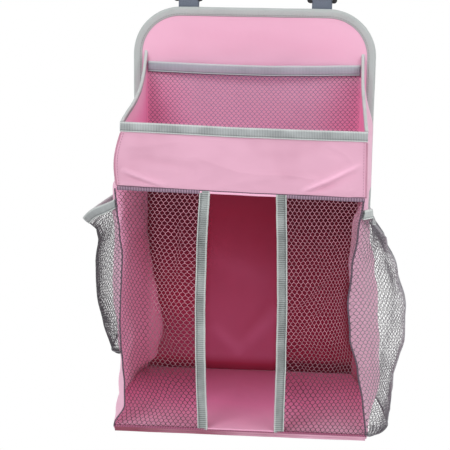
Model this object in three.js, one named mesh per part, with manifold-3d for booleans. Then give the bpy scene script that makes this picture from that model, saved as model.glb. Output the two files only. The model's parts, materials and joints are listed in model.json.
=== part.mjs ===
import * as THREE from "three";
import { mergeVertices } from "three/addons/utils/BufferGeometryUtils.js";
import Module from "manifold-3d";

const wasm = await Module();
wasm.setup();

// A hanging nursery caddy, in millimetres. X is to the right, Y to the back and Z up.
// The origin is on top of the rail, midway between the two strap loops.

// Cloth, board and trim
const CLOTH = 1.2;
const BOARD = 2.6;
const FIT = 0.3;
const TRIM = 1.2;
const BAND = 12;

// Back panel
const PANEL_WIDTH = 300;
const PANEL_HEIGHT = 495;
const PANEL_TOP_RADIUS = 58;
const PANEL_BOTTOM_RADIUS = 18;
const BOARD_MARGIN = 5;

// Sides, given by how far they lie inside the panel's own edge at the back and along the front
const BACK_INSET = 14;
const RIM_INSET = 13;
const TRAY_INSET = 10;
const BASE_INSET = 4;
const SIDE_BULGE = 24;
const SIDE_BASE_BULGE = 5;
const TRAY_BULGE = 5;
const BULGE_POWER = 0.6;
const LEFT_PULL = 9;
const RIGHT_PULL = 19;

// Tray
const RIM_BACK_DROP = 54;
const RIM_CURVE_DROP = 38;
const RIM_SLOPE_DROP = 18;
const RIM_CURVE_POWER = 8;
const RIM_SHORTER = 1;
const TRAY_DROP = 184;
const TRAY_DEEPER = 10;
const TRAY_SWELL = 4;

// Pocket of net inside the tray
const INNER_DROP = 67;
const INNER_INSET = 3;
const INNER_BOW = 12;
const INNER_STAND = 2.8;

// Lower compartment
const BASE_RISE = 21;
const BASE_DEPTH = 201;
const SLOT_WIDTH = 76;
const SLOT_SHIFT = 1.5;
const SLOT_BOW = 3;
const SEAM_WIDTH = 4;

// Nets
const NET = 1.0;
const NET_STRAND = 2.4;
const NET_HEM = 5;
const GAP_LEAN = 0.35;
const FRONT_NET_COLUMNS = 6;
const FRONT_NET_ROWS = 12;
const INNER_NET_COLUMNS = 13;
const INNER_NET_ROWS = 4;

// Side pockets
const POCKET_NET = 1.6;
const POCKET_START = 0.985;
const POCKET_END = 0.02;
const LEFT_POCKET_DROP = 206;
const LEFT_POCKET_SAG = 30;
const LEFT_POCKET_HEIGHT = 182;
const LEFT_POCKET_BAG = 22;
const LEFT_POCKET_REACH = 38;
const RIGHT_POCKET_DROP = 212;
const RIGHT_POCKET_SAG = 4;
const RIGHT_POCKET_HEIGHT = 254;
const RIGHT_POCKET_BAG = 6;
const RIGHT_POCKET_REACH = 32;
const POCKET_GAP = 2;
const POCKET_COLUMNS = 14;
const POCKET_ROWS = 12;
const SWELL_POWER = 0.75;

// Hanging straps and buckles
const STRAP_INSET = 67;
const STRAP_WIDTH = 25;
const STRAP = 1.5;
const RAIL_HEIGHT = 70;
const RAIL_DEPTH = 26;
const PANEL_UNDER_RAIL = 82;
const ANCHOR_LENGTH = 42;
const BUCKLE_RISE = 8;
const BUCKLE_WIDTH = 37;
const BUCKLE_THICKNESS = 11;
const BUCKLE_WALL = 2.2;
const SOCKET_HEIGHT = 38;
const PLUG_HEIGHT = 17;
const BAR_HEIGHT = 3.2;
const BAR_DEPTH = 2.8;
const SLOT_HEIGHT = 4.4;
const TONGUE_WIDTH = 5;
const TONGUE_LENGTH = 22;
const ARM_LENGTH = 21;
const ARM_WIDTH = 3.2;
const ARM_DEPTH = 4.6;
const HOOK_LENGTH = 7;
const HOOK_REACH = 2.2;
const WINDOW_HEIGHT = 12;
const WINDOW_RISE = 15;
const TAIL_RISE = 12;
const STRAP_CORNER = 6;
const STRAP_KICK = 4;
const RAIL_CLEAR = 2;
const SOCKET_CORNER = 4;
const PLUG_CORNER = 3;
const PLUG_INSET = 1;

// Places that follow from the sizes above
const BASE_DROP = PANEL_HEIGHT - BASE_RISE;
const SIDE_BACK_HALF = PANEL_WIDTH / 2 - BACK_INSET;
const SIDE_RIM_HALF = PANEL_WIDTH / 2 - RIM_INSET;
const SIDE_TRAY_HALF = PANEL_WIDTH / 2 - TRAY_INSET;
const SIDE_BASE_HALF = PANEL_WIDTH / 2 - BASE_INSET;
const INNER_HALF = SIDE_BACK_HALF - INNER_INSET;
const STRAP_HALF = PANEL_WIDTH / 2 - STRAP_INSET;
const RIM_DEPTH = BASE_DEPTH - RIM_SHORTER;
const TRAY_DEPTH = BASE_DEPTH + TRAY_DEEPER;
const PANEL_THICK = CLOTH + FIT + BOARD + FIT + CLOTH;
const TRAY_UNDER = TRAY_DROP + PANEL_THICK;
const BASE_UNDER = BASE_DROP + PANEL_THICK;
const TAB_FRONT = PANEL_THICK + 2 * FIT + TRIM;
const BAR_FRONT = TAB_FRONT + STRAP + FIT;
const BUCKLE_MIDDLE = BAR_FRONT + BAR_DEPTH / 2;
const RAIL_FRONT = BUCKLE_MIDDLE + BUCKLE_THICKNESS / 2 + FIT + STRAP;
const FOLD_RISE = TRIM + 2 * FIT;

// How far each front corner is pulled in, evenly down from the tray to the base
const FRONT_PULL = {
  left: [0, 0.44, 0.67, 0.78, 1, 1, 0.56, 0].map((share) => share * LEFT_PULL),
  right: [0, 0.26, 0.63, 1, 0.68, 0.32, 0, 0].map((share) => share * RIGHT_PULL),
};

// The two side pockets: out is how far they stand off the side, evenly from the bottom to the rim
const LEFT_POCKET = {
  rimDrop: LEFT_POCKET_DROP,
  rimSag: LEFT_POCKET_SAG,
  bottomDrop: LEFT_POCKET_DROP + LEFT_POCKET_HEIGHT,
  bottomSag: LEFT_POCKET_BAG,
  tip: 0.62,
  out: [0, 0.24, 0.37, 0.47, 0.53, 0.58, 1].map((share) => share * LEFT_POCKET_REACH),
};
const RIGHT_POCKET = {
  rimDrop: RIGHT_POCKET_DROP,
  rimSag: RIGHT_POCKET_SAG,
  bottomDrop: RIGHT_POCKET_DROP + RIGHT_POCKET_HEIGHT,
  bottomSag: RIGHT_POCKET_BAG,
  tip: 0.5,
  out: [0.44, 0.69, 0.94, 1, 0.9, 0.72, 0.53].map((share) => share * RIGHT_POCKET_REACH),
};

// Materials
const finish = (color, roughness, metalness = 0) =>
  new THREE.MeshStandardMaterial({ color, roughness, metalness });
const pinkCloth = finish(0xefb4d2, 0.75);
const greyFelt = finish(0xb4b4b8, 0.9);
const greyRibbon = finish(0xa9adb0, 0.8);
const darkTape = finish(0x6b5a68, 0.85);
const netting = finish(0x77767c, 0.6);
const webbing = finish(0x6d7683, 0.8);
const board = finish(0xd9d4c8, 0.7);
const blackPlastic = finish(0x1b1c1f, 0.4);

// Number helpers
const lerp = (a, b, t) => a + (b - a) * t;
const clamp = (x) => Math.min(1, Math.max(0, x));
const hump = (t) => Math.sin(Math.PI * clamp(t));

// A smooth value between evenly spaced stations, for t from 0 to 1.
function along(stations, t) {
  const place = clamp(t) * (stations.length - 1);
  const i = Math.min(stations.length - 2, Math.floor(place));
  const part = place - i;
  return lerp(stations[i], stations[i + 1], part * part * (3 - 2 * part));
}

// A closed solid from a list of points and triangles, turned so that its faces point out.
function closedGeometry(points, triangles) {
  const geometry = new THREE.BufferGeometry();
  geometry.setAttribute("position", new THREE.Float32BufferAttribute(points.flat(), 3));
  geometry.setIndex(triangles.flat());
  if (signedVolume(points, triangles) < 0) {
    geometry.setIndex(triangles.map(([a, b, c]) => [a, c, b]).flat());
  }
  return geometry;
}

function signedVolume(points, triangles) {
  let volume = 0;
  for (const [a, b, c] of triangles) {
    const [p, q, r] = [points[a], points[b], points[c]].map((v) => new THREE.Vector3(...v));
    volume += p.dot(q.cross(r));
  }
  return volume;
}

// A sheet of cloth: outer(s, t) gives its outer face, and inner(s, t) the face behind it.
function sheet(columns, rows, outer, inner) {
  const points = [];
  const triangles = [];
  const at = (face, i, j) => face * (columns + 1) * (rows + 1) + j * (columns + 1) + i;
  for (const face of [outer, inner]) {
    for (let j = 0; j <= rows; j++) {
      for (let i = 0; i <= columns; i++) {
        points.push(face(i / columns, j / rows));
      }
    }
  }
  const quad = (a, b, c, d) => triangles.push([a, b, c], [a, c, d]);
  for (let j = 0; j < rows; j++) {
    for (let i = 0; i < columns; i++) {
      quad(at(0, i, j), at(0, i + 1, j), at(0, i + 1, j + 1), at(0, i, j + 1));
      quad(at(1, i, j), at(1, i, j + 1), at(1, i + 1, j + 1), at(1, i + 1, j));
    }
  }
  for (let i = 0; i < columns; i++) {
    quad(at(0, i, 0), at(1, i, 0), at(1, i + 1, 0), at(0, i + 1, 0));
    quad(at(0, i, rows), at(0, i + 1, rows), at(1, i + 1, rows), at(1, i, rows));
  }
  for (let j = 0; j < rows; j++) {
    quad(at(0, 0, j), at(0, 0, j + 1), at(1, 0, j + 1), at(1, 0, j));
    quad(at(0, columns, j), at(1, columns, j), at(1, columns, j + 1), at(0, columns, j + 1));
  }
  return closedGeometry(points, triangles);
}

// A closed section, given as pairs, carried along frames of { origin, a, b }.
function sweep(drawn, frames) {
  const turned = THREE.ShapeUtils.isClockWise(drawn.map(([x, y]) => new THREE.Vector2(x, y)));
  const section = turned ? drawn.slice().reverse() : drawn;
  const count = section.length;
  const points = [];
  const triangles = [];
  for (const { origin, a, b } of frames) {
    for (const [across, up] of section) {
      points.push(origin.map((value, k) => value + a[k] * across + b[k] * up));
    }
  }
  for (let f = 0; f < frames.length - 1; f++) {
    for (let i = 0; i < count; i++) {
      const next = (i + 1) % count;
      const [p, q] = [f * count + i, f * count + next];
      triangles.push([p, q, q + count], [p, q + count, p + count]);
    }
  }
  const outline = section.map(([x, y]) => new THREE.Vector2(x, y));
  const last = (frames.length - 1) * count;
  for (const [i, j, k] of THREE.ShapeUtils.triangulateShape(outline, [])) {
    triangles.push([i, k, j], [last + i, last + j, last + k]);
  }
  return closedGeometry(points, triangles);
}

// The section of a binding that is folded over an edge, which ends a clearance below its fold.
function channel(sheetThickness, height) {
  const inside = sheetThickness / 2 + FIT;
  const outside = inside + TRIM;
  return [
    [-outside, -height],
    [-inside, -height],
    [-inside, -TRIM],
    [inside, -TRIM],
    [inside, -height],
    [outside, -height],
    [outside, 0],
    [-outside, 0],
  ];
}

// A rectangle with its four corners rounded, drawn from its top edge at height zero down.
function panelShape(grow) {
  const half = PANEL_WIDTH / 2 + grow;
  const [top, bottom] = [grow, -PANEL_HEIGHT - grow];
  const [r, q] = [PANEL_TOP_RADIUS + grow, PANEL_BOTTOM_RADIUS + grow];
  const shape = new THREE.Shape();
  shape.moveTo(-half, bottom + q);
  shape.absarc(-half + q, bottom + q, q, Math.PI, 1.5 * Math.PI);
  shape.absarc(half - q, bottom + q, q, 1.5 * Math.PI, 2 * Math.PI);
  shape.absarc(half - r, top - r, r, 0, Math.PI / 2);
  shape.absarc(-half + r, top - r, r, Math.PI / 2, Math.PI);
  return shape;
}

const ARC_STEPS = 8;
const CORNER_STEPS = 5;

// A flat piece drawn in X and Z, with its front face at the given Y.
function upright(shape, thickness, front) {
  const options = { depth: thickness, bevelEnabled: false, curveSegments: ARC_STEPS };
  const geometry = new THREE.ExtrudeGeometry(shape, options);
  geometry.rotateX(Math.PI / 2);
  geometry.translate(0, front + thickness, 0);
  return geometry;
}

// A level piece drawn in X and Y, with its top face at the given Z.
function level(points, thickness, top) {
  const shape = new THREE.Shape(points.map(([x, y]) => new THREE.Vector2(x, y)));
  const geometry = new THREE.ExtrudeGeometry(shape, { depth: thickness, bevelEnabled: false });
  geometry.translate(0, 0, top - thickness);
  return geometry;
}

// Joining and cutting
function solid(geometry) {
  const bare = geometry.clone();
  for (const name of Object.keys(bare.attributes)) {
    if (name !== "position") bare.deleteAttribute(name);
  }
  const merged = mergeVertices(bare, 1e-4);
  return new wasm.Manifold(
    new wasm.Mesh({
      numProp: 3,
      vertProperties: new Float32Array(merged.attributes.position.array),
      triVerts: new Uint32Array(merged.index.array),
    }),
  );
}

function geometryOf(made) {
  const mesh = made.getMesh();
  const geometry = new THREE.BufferGeometry();
  const points = new Float32Array(mesh.vertProperties);
  geometry.setAttribute("position", new THREE.BufferAttribute(points, 3));
  geometry.setIndex(new THREE.BufferAttribute(new Uint32Array(mesh.triVerts), 1));
  return geometry;
}

function cut(geometry, ...tools) {
  return geometryOf(tools.reduce((made, tool) => made.subtract(solid(tool)), solid(geometry)));
}

function join(geometry, ...others) {
  return geometryOf(others.reduce((made, other) => made.add(solid(other)), solid(geometry)));
}

// A box between two corners.
function box(low, high) {
  const size = high.map((value, i) => value - low[i]);
  const middle = high.map((value, i) => (value + low[i]) / 2);
  return new THREE.BoxGeometry(...size).translate(...middle);
}

function piece(name, geometry, material) {
  const mesh = new THREE.Mesh(geometry, material);
  mesh.name = name;
  return mesh;
}

// The box that the cloth makes, all heights below the panel's top edge

// How far down the lower compartment a height is, from 0 under the tray to 1 at the base.
const down = (z) => clamp((-z - TRAY_UNDER) / (BASE_DROP - TRAY_UNDER));

// The rim of a side, for t from 0 at the panel to 1 at the front.
const rimZ = (t) =>
  -RIM_BACK_DROP - RIM_CURVE_DROP * (1 - (1 - t) ** RIM_CURVE_POWER) - RIM_SLOPE_DROP * t;

const frontRimZ = rimZ(1);

// How far down the tray's front a height is, from 0 at its rim to 1 under its floor.
const trayShare = (z) => clamp((frontRimZ - z) / (TRAY_UNDER + frontRimZ));

// The same, from 0 at the lower edge of the band along the rim.
const bandZ = frontRimZ - BAND - FIT;
const belowBand = (z) => clamp((bandZ - z) / (TRAY_UNDER + bandZ));

// The depth of the front of the box at a height.
function depthAt(z) {
  return lerp(lerp(RIM_DEPTH, TRAY_DEPTH, trayShare(z)), BASE_DEPTH, down(z));
}

// Half the width of the box at its front, at a height.
function frontHalf(side, z) {
  const swell = side === "left" ? TRAY_BULGE * hump(belowBand(z)) : 0;
  const tray = lerp(SIDE_RIM_HALF, SIDE_TRAY_HALF, belowBand(z));
  return lerp(tray, SIDE_BASE_HALF, down(z)) + swell - along(FRONT_PULL[side], down(z));
}

// Half the width of the box at a share t of its depth, at a height.
function halfAt(side, t, z) {
  const bulge = SIDE_BULGE * hump(down(z)) ** BULGE_POWER + SIDE_BASE_BULGE * down(z);
  return lerp(SIDE_BACK_HALF, frontHalf(side, z), t) + bulge * hump(t);
}

const sign = { left: -1, right: 1 };

// Back panel
function backPanel() {
  const inner = new THREE.Group();
  const boardFront = CLOTH + FIT;
  const rearFront = boardFront + BOARD + FIT;
  const frame = panelShape(TRIM + FIT);
  frame.holes.push(panelShape(-BAND));
  const ring = upright(frame, PANEL_THICK + 2 * (FIT + TRIM), -FIT - TRIM);
  const room = upright(panelShape(FIT), PANEL_THICK + 2 * FIT, -FIT);
  inner.add(
    piece("back_panel_front_cloth", upright(panelShape(0), CLOTH, 0), pinkCloth),
    piece("back_panel_board", upright(panelShape(-BOARD_MARGIN), BOARD, boardFront), board),
    piece("back_panel_rear_cloth", upright(panelShape(0), CLOTH, rearFront), pinkCloth),
    piece("back_panel_binding", cut(ring, room), greyFelt),
  );
  return inner;
}

const SIDE_COLUMNS = 12;
const LOWER_ROWS = 12;
const TRAY_ROWS = 5;
const STATION_POWER = 1.7;

// The stations along a side crowd towards the panel, where its rim is steep.
const station = (i) => (i / SIDE_COLUMNS) ** STATION_POWER;

// The heights of a side's rows: the base, the lower compartment, the tray's floor and the rim.
function sideHeight(row, rim) {
  if (row === 0) return -BASE_UNDER;
  if (row <= LOWER_ROWS + 1) return lerp(-BASE_DROP, -TRAY_UNDER, (row - 1) / LOWER_ROWS);
  return lerp(-TRAY_UNDER, rim, (row - 1 - LOWER_ROWS) / TRAY_ROWS);
}

// A side, from the tray's rim to the base.
function sidePanel(side) {
  const rows = LOWER_ROWS + TRAY_ROWS + 1;
  const face = (inset) => (s, v) => {
    const t = station(s * SIDE_COLUMNS);
    const z = sideHeight(Math.round(v * rows), rimZ(t));
    const y = lerp(-FIT, -(depthAt(z) - CLOTH - FIT), t);
    return [sign[side] * (halfAt(side, t, z) - inset), y, z];
  };
  const cloth = sheet(SIDE_COLUMNS, rows, face(0), face(CLOTH));
  const behindBinding = -(RIM_DEPTH - CLOTH - TRIM - 3 * FIT);
  const notchLow = frontRimZ - BAND - FIT;
  const notch = box([-PANEL_WIDTH, -PANEL_WIDTH, notchLow], [PANEL_WIDTH, behindBinding, 0]);
  return piece(`${side}_side`, cut(cloth, notch), pinkCloth);
}

// The outline of a level piece that fits between the sides, from its top down to its underside.
function floorOutline(top, bottom, depth) {
  const inset = CLOTH + FIT;
  const half = (side, t) => Math.min(halfAt(side, t, top), halfAt(side, t, bottom)) - inset;
  const points = [];
  for (let i = 0; i <= SIDE_COLUMNS; i++) {
    points.push([half("right", station(i)), lerp(-FIT, -depth, station(i))]);
  }
  for (let i = SIDE_COLUMNS; i >= 0; i--) {
    points.push([-half("left", station(i)), lerp(-FIT, -depth, station(i))]);
  }
  return points;
}

// A stiffened floor: cloth above, a board, and cloth below.
function stiffFloor(name, top, depth) {
  const outline = floorOutline(-top, -top - PANEL_THICK, depth);
  const boardTop = -top - CLOTH - FIT;
  const underTop = boardTop - BOARD - FIT;
  return [
    piece(`${name}_top_cloth`, level(outline, CLOTH, -top), pinkCloth),
    piece(`${name}_board`, level(outline, BOARD, boardTop), board),
    piece(`${name}_bottom_cloth`, level(outline, CLOTH, underTop), pinkCloth),
  ];
}

// Tray
const FRONT_COLUMNS = 12;
const FRONT_ROWS = 6;

function trayFront() {
  const face = (inset) => (s, v) => {
    const z = lerp(-TRAY_UNDER, frontRimZ, v);
    const x = lerp(-frontHalf("left", z), frontHalf("right", z), s);
    return [x, -depthAt(z) - TRAY_SWELL * hump(s) * hump(belowBand(z)) + inset, z];
  };
  return piece("tray_front", sheet(FRONT_COLUMNS, FRONT_ROWS, face(0), face(CLOTH)), pinkCloth);
}

function trayFrontBinding() {
  const lean = depthAt(frontRimZ - BAND) - depthAt(frontRimZ);
  const run = Math.hypot(lean, BAND);
  const up = [0, lean / run, BAND / run];
  const across = [0, BAND / run, -lean / run];
  const rise = FIT + TRIM;
  const middle = -depthAt(frontRimZ) + CLOTH / 2;
  const ends = [-frontHalf("left", frontRimZ), frontHalf("right", frontRimZ)];
  const frames = ends.map((x) => ({
    origin: [x, middle + up[1] * rise, frontRimZ + up[2] * rise],
    a: across,
    b: up,
  }));
  return piece("tray_front_binding", sweep(channel(CLOTH, BAND), frames), greyRibbon);
}

// The share of the depth each way over which the slope of a rim is measured.
const RIM_NUDGE = 0.004;

// The binding over a side's rim follows its curve.
function traySideBinding(side) {
  const frames = [];
  const end = 1 - (CLOTH + 2 * TRIM + 4 * FIT) / RIM_DEPTH;
  const rimPoint = (t) => {
    const z = rimZ(t);
    const y = lerp(-FIT, -(depthAt(z) - CLOTH - FIT), t);
    return [sign[side] * (halfAt(side, t, z) - CLOTH / 2), y, z];
  };
  for (let i = 0; i <= SIDE_COLUMNS; i++) {
    const t = Math.min(end, station(i));
    const [p, q] = [rimPoint(Math.max(0, t - RIM_NUDGE)), rimPoint(Math.min(1, t + RIM_NUDGE))];
    const turned = clamp((t * RIM_DEPTH) / BAND);
    const lean = turned * Math.atan2(p[2] - q[2], p[1] - q[1]);
    const up = [0, -Math.sin(lean), Math.cos(lean)];
    const origin = rimPoint(t).map((value, k) => value + up[k] * (FIT + TRIM));
    frames.push({ origin, a: [1, 0, 0], b: up });
  }
  return piece(`tray_${side}_binding`, sweep(channel(CLOTH, BAND / 2), frames), greyRibbon);
}

// Nets

// The heights of a net's rows of points: its two hems, and two steps for each gap.
function netLevels(height, rows) {
  const pitch = (height - 2 * NET_HEM) / (rows + 0.5);
  const steps = Array.from({ length: 2 * rows + 2 }, (_, i) => NET_HEM + (pitch * i) / 2);
  return [0, ...steps, height];
}

// A net, width by height, of upright columns of six-sided gaps, laid on a surface by lay(x, y, w).
function net(width, height, columns, rows, lay) {
  const levels = netLevels(height, rows);
  const pitch = (width - 2 * NET_HEM) / columns;
  const edges = Array.from({ length: columns + 1 }, (_, i) => NET_HEM + pitch * i);
  const points = [];
  const found = new Map();
  const at = (x, y) => {
    const key = `${x.toFixed(3)} ${y.toFixed(3)}`;
    if (!found.has(key)) found.set(key, points.push([x, y]) - 1);
    return found.get(key);
  };
  const triangles = [];
  const fill = (left, right, low, high) => {
    const corners = [[left, low], [right, low], [right, high], [left, high]];
    const [a, b, c, d] = corners.map(([x, y]) => at(x, y));
    triangles.push([a, b, c], [a, c, d]);
  };
  const last = levels.length - 1;
  for (let k = 0; k < last; k++) {
    fill(0, NET_HEM, levels[k], levels[k + 1]);
    fill(width - NET_HEM, width, levels[k], levels[k + 1]);
  }
  for (let i = 0; i < columns; i++) {
    const [left, right] = [edges[i], edges[i + 1]];
    const first = i % 2 ? 2 : 1;
    const solidRows = [0, last - 1, i % 2 ? 1 : last - 2];
    solidRows.forEach((k) => fill(left, right, levels[k], levels[k + 1]));
    for (let k = first; k < first + 2 * rows; k += 2) {
      triangles.push(...netGap(at, left, right, levels.slice(k, k + 3)));
    }
  }
  return thicken(points, triangles, lay);
}

// The triangles round one gap of a net: it has upright sides, and a point above and below.
function netGap(at, left, right, [low, middle, high]) {
  const x = (left + right) / 2;
  const half = (right - left - NET_STRAND) / 2;
  const tip = (high - low) / 2 - NET_STRAND * GAP_LEAN;
  const shoulder = (high - low) / 4 - NET_STRAND * GAP_LEAN;
  const rim = [left, right].map((px) => [low, middle, high].map((py) => at(px, py)));
  const outer = [rim[0][0], rim[1][0], rim[1][1], rim[1][2], rim[0][2], rim[0][1]];
  const rightHalf = [[0, -tip], [half, -shoulder], [half, shoulder]];
  const gap = [...rightHalf, ...rightHalf.map(([px, py]) => [-px, -py])];
  const inner = gap.map(([px, py]) => at(x + px, middle + py));
  return outer.flatMap((corner, k) => {
    const next = (k + 1) % 6;
    return [[corner, outer[next], inner[k]], [outer[next], inner[next], inner[k]]];
  });
}

// A flat mesh given its thickness: two faces, and a wall at each edge that only one triangle has.
function thicken(flat, triangles, lay) {
  const count = flat.length;
  const points = [0, NET].flatMap((w) => flat.map(([x, y]) => lay(x, y, w)));
  const edges = triangles.flatMap(([a, b, c]) => [`${a} ${b}`, `${b} ${c}`, `${c} ${a}`]);
  const known = new Set(edges);
  const made = triangles.flatMap(([a, b, c]) => [[a, b, c], [a + count, c + count, b + count]]);
  for (const edge of edges) {
    const [a, b] = edge.split(" ").map(Number);
    if (known.has(`${b} ${a}`)) continue;
    made.push([b, a, a + count], [b, a + count, b + count]);
  }
  return closedGeometry(points, made);
}

// The edge of the middle slot at a height, measured from the middle of the caddy.
const slotEdge = (side, z) =>
  sign[side] * (SLOT_WIDTH / 2 + SLOT_BOW * hump(down(z))) + SLOT_SHIFT;

function frontNet(side) {
  const top = -TRAY_UNDER - FIT;
  const bottom = -BASE_DROP + FIT;
  const width = SIDE_TRAY_HALF - SLOT_WIDTH / 2 - SEAM_WIDTH;
  const lay = (x, y, w) => {
    const z = bottom + y;
    const inner = slotEdge(side, z) + sign[side] * (FIT + TRIM);
    const outer = sign[side] * (frontHalf(side, z) - SEAM_WIDTH - FIT);
    return [lerp(inner, outer, x / width), w - depthAt(z), z];
  };
  const made = net(width, top - bottom, FRONT_NET_COLUMNS, FRONT_NET_ROWS, lay);
  return piece(`${side}_front_net`, made, netting);
}

// The heights of a seam down the front, from the base up to the tray, are those of the net beside it.
function seamHeights() {
  const [low, high] = [-BASE_DROP + FIT, -TRAY_UNDER - FIT];
  return netLevels(high - low, FRONT_NET_ROWS).map((y) => low + y);
}

function slotBinding(side) {
  const frames = seamHeights().map((z) => ({
    origin: [slotEdge(side, z), -depthAt(z) + NET / 2, z],
    a: [0, 1, 0],
    b: [-sign[side], 0, 0],
  }));
  return piece(`${side}_slot_binding`, sweep(channel(NET, BAND), frames), greyRibbon);
}

// The tape that joins a front net to the side behind it.
function frontSeam(side) {
  const section = [[0, 0], [SEAM_WIDTH, 0], [SEAM_WIDTH, CLOTH], [0, CLOTH]];
  const frames = seamHeights().map((z) => ({
    origin: [sign[side] * frontHalf(side, z), -depthAt(z), z],
    a: [-sign[side], 0, 0],
    b: [0, 1, 0],
  }));
  return piece(`${side}_front_seam`, sweep(section, frames), darkTape);
}

// Pocket of net against the back panel, inside the tray

// The pocket bows forward from the panel, most in its middle.
const innerBow = (x) => -INNER_STAND - INNER_BOW * hump((x / INNER_HALF + 1) / 2);

function innerPocket() {
  const top = -INNER_DROP - BAND - FIT;
  const bottom = -TRAY_DROP + FIT;
  const lay = (x, y, w) => [x - INNER_HALF, innerBow(x - INNER_HALF) + w, bottom + y];
  const made = net(2 * INNER_HALF, top - bottom, INNER_NET_COLUMNS, INNER_NET_ROWS, lay);
  const bandFace = (stand) => (u, v) => {
    const x = lerp(-INNER_HALF, INNER_HALF, u);
    return [x, innerBow(x) + stand, lerp(-INNER_DROP - BAND, -INNER_DROP, v)];
  };
  const [near, far] = [(NET - TRIM) / 2, (NET + TRIM) / 2];
  const band = sheet(2 * INNER_NET_COLUMNS, 1, bandFace(near), bandFace(far));
  return [
    piece("inner_pocket_net", made, netting),
    piece("inner_pocket_band", band, greyRibbon),
  ];
}

// Side pockets

// A share of the way along a pocket, from the front seam to the back, as a depth along the side.
const pocketDepth = (s) => lerp(POCKET_START, POCKET_END, s);

// The swell of a pocket along its length is fullest at its tip.
function pocketSwell(pocket, s) {
  const bent = s ** (Math.log(0.5) / Math.log(pocket.tip));
  return hump(bent) ** SWELL_POWER;
}

function pocketFace(side, pocket, extra) {
  return (s, v) => {
    const swell = pocketSwell(pocket, 1 - s);
    const t = pocketDepth(s);
    const low = -pocket.bottomDrop - pocket.bottomSag * swell;
    const high = -pocket.rimDrop - pocket.rimSag * swell;
    const z = lerp(low, high, v);
    const stand = halfAt(side, t, z) + POCKET_GAP + along(pocket.out, v) * swell;
    return [sign[side] * (stand + extra), -t * (depthAt(z) - CLOTH - FIT), z];
  };
}

function sidePocket(side, pocket) {
  const height = pocket.bottomDrop - pocket.rimDrop;
  const part = (low, high, out, back) => {
    const [outer, inner] = [pocketFace(side, pocket, out), pocketFace(side, pocket, back)];
    return [(s, v) => outer(s, lerp(low, high, v)), (s, v) => inner(s, lerp(low, high, v))];
  };
  const bag = sheet(POCKET_COLUMNS, POCKET_ROWS, ...part(0, 1 - (BAND + FIT) / height, POCKET_NET, 0));
  const rim = sheet(POCKET_COLUMNS, 2, ...part(1 - BAND / height, 1, POCKET_NET + TRIM / 2, -TRIM / 2));
  return [
    piece(`${side}_pocket_net`, bag, netting),
    piece(`${side}_pocket_rim`, rim, greyRibbon),
  ];
}

// Hangers

// A strip of webbing along a path of [y, z] points, extruded across its width about the given x.
function strip(path, x) {
  const left = [];
  const right = [];
  path.forEach(([y, z], i) => {
    const [py, pz] = path[Math.max(0, i - 1)];
    const [ny, nz] = path[Math.min(path.length - 1, i + 1)];
    const before = new THREE.Vector2(y - py, z - pz).normalize();
    const after = new THREE.Vector2(ny - y, nz - z).normalize();
    const run = before.clone().add(after).normalize();
    const known = i > 0 ? before : after;
    const widen = STRAP / 2 / Math.max(0.5, run.dot(known));
    left.push([y - run.y * widen, z + run.x * widen]);
    right.push([y + run.y * widen, z - run.x * widen]);
  });
  const section = [...left, ...right.reverse()];
  const ends = [x - STRAP_WIDTH / 2, x + STRAP_WIDTH / 2];
  return sweep(section, ends.map((at) => ({ origin: [at, 0, 0], a: [0, 1, 0], b: [0, 0, 1] })));
}

// Points of an arc in Y and Z, with angles in degrees from +Y towards +Z.
function arc(y, z, radius, from, to, steps) {
  return Array.from({ length: steps + 1 }, (_, i) => {
    const angle = THREE.MathUtils.degToRad(lerp(from, to, i / steps));
    return [y + radius * Math.cos(angle), z + radius * Math.sin(angle)];
  });
}

const wrap = BAR_DEPTH / 2 + FIT + STRAP / 2;
const strapRear = BUCKLE_MIDDLE + wrap + STRAP + FIT;
const barMiddle = BUCKLE_RISE + BAR_HEIGHT / 2;
const plugBottom = BUCKLE_RISE + SOCKET_HEIGHT + FIT;
const plugBar = plugBottom + PLUG_HEIGHT - BAR_HEIGHT / 2;

// The short webbing tab goes up in front of the socket's bar, through it and down behind.
function tabPath() {
  const low = FOLD_RISE + FIT / 2;
  const turn = BUCKLE_RISE + BAR_HEIGHT;
  return [
    [BUCKLE_MIDDLE - wrap, low],
    ...arc(BUCKLE_MIDDLE, turn, wrap, 180, 0, ARC_STEPS),
    [BUCKLE_MIDDLE + wrap, low],
  ];
}

// The long strap goes up behind the rail, over it, down in front and round the plug's bar.
function strapPath() {
  const back = RAIL_FRONT + RAIL_DEPTH + STRAP / 2;
  const front = RAIL_FRONT - STRAP / 2;
  const top = PANEL_UNDER_RAIL + STRAP / 2;
  const turn = plugBar - BAR_HEIGHT / 2;
  return [
    [strapRear, FOLD_RISE + FIT / 2],
    [strapRear + STRAP, FOLD_RISE + STRAP_KICK],
    [back, PANEL_UNDER_RAIL - RAIL_HEIGHT - RAIL_CLEAR],
    ...arc(back - STRAP_CORNER, top - STRAP_CORNER, STRAP_CORNER, 0, 90, CORNER_STEPS),
    ...arc(front + STRAP_CORNER, top - STRAP_CORNER, STRAP_CORNER, 90, 180, CORNER_STEPS),
    [front, plugBar + TAIL_RISE],
    ...arc(BUCKLE_MIDDLE, turn, wrap, 0, -180, ARC_STEPS),
    [BUCKLE_MIDDLE - wrap, plugBar + TAIL_RISE],
  ];
}

// A rounded rectangle in X and Z about x = 0.
function rounded(width, low, high, radius) {
  const half = width / 2;
  const shape = new THREE.Shape();
  shape.moveTo(-half, low + radius);
  shape.absarc(-half + radius, low + radius, radius, Math.PI, 1.5 * Math.PI);
  shape.absarc(half - radius, low + radius, radius, 1.5 * Math.PI, 2 * Math.PI);
  shape.absarc(half - radius, high - radius, radius, 0, Math.PI / 2);
  shape.absarc(-half + radius, high - radius, radius, Math.PI / 2, Math.PI);
  return shape;
}

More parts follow.
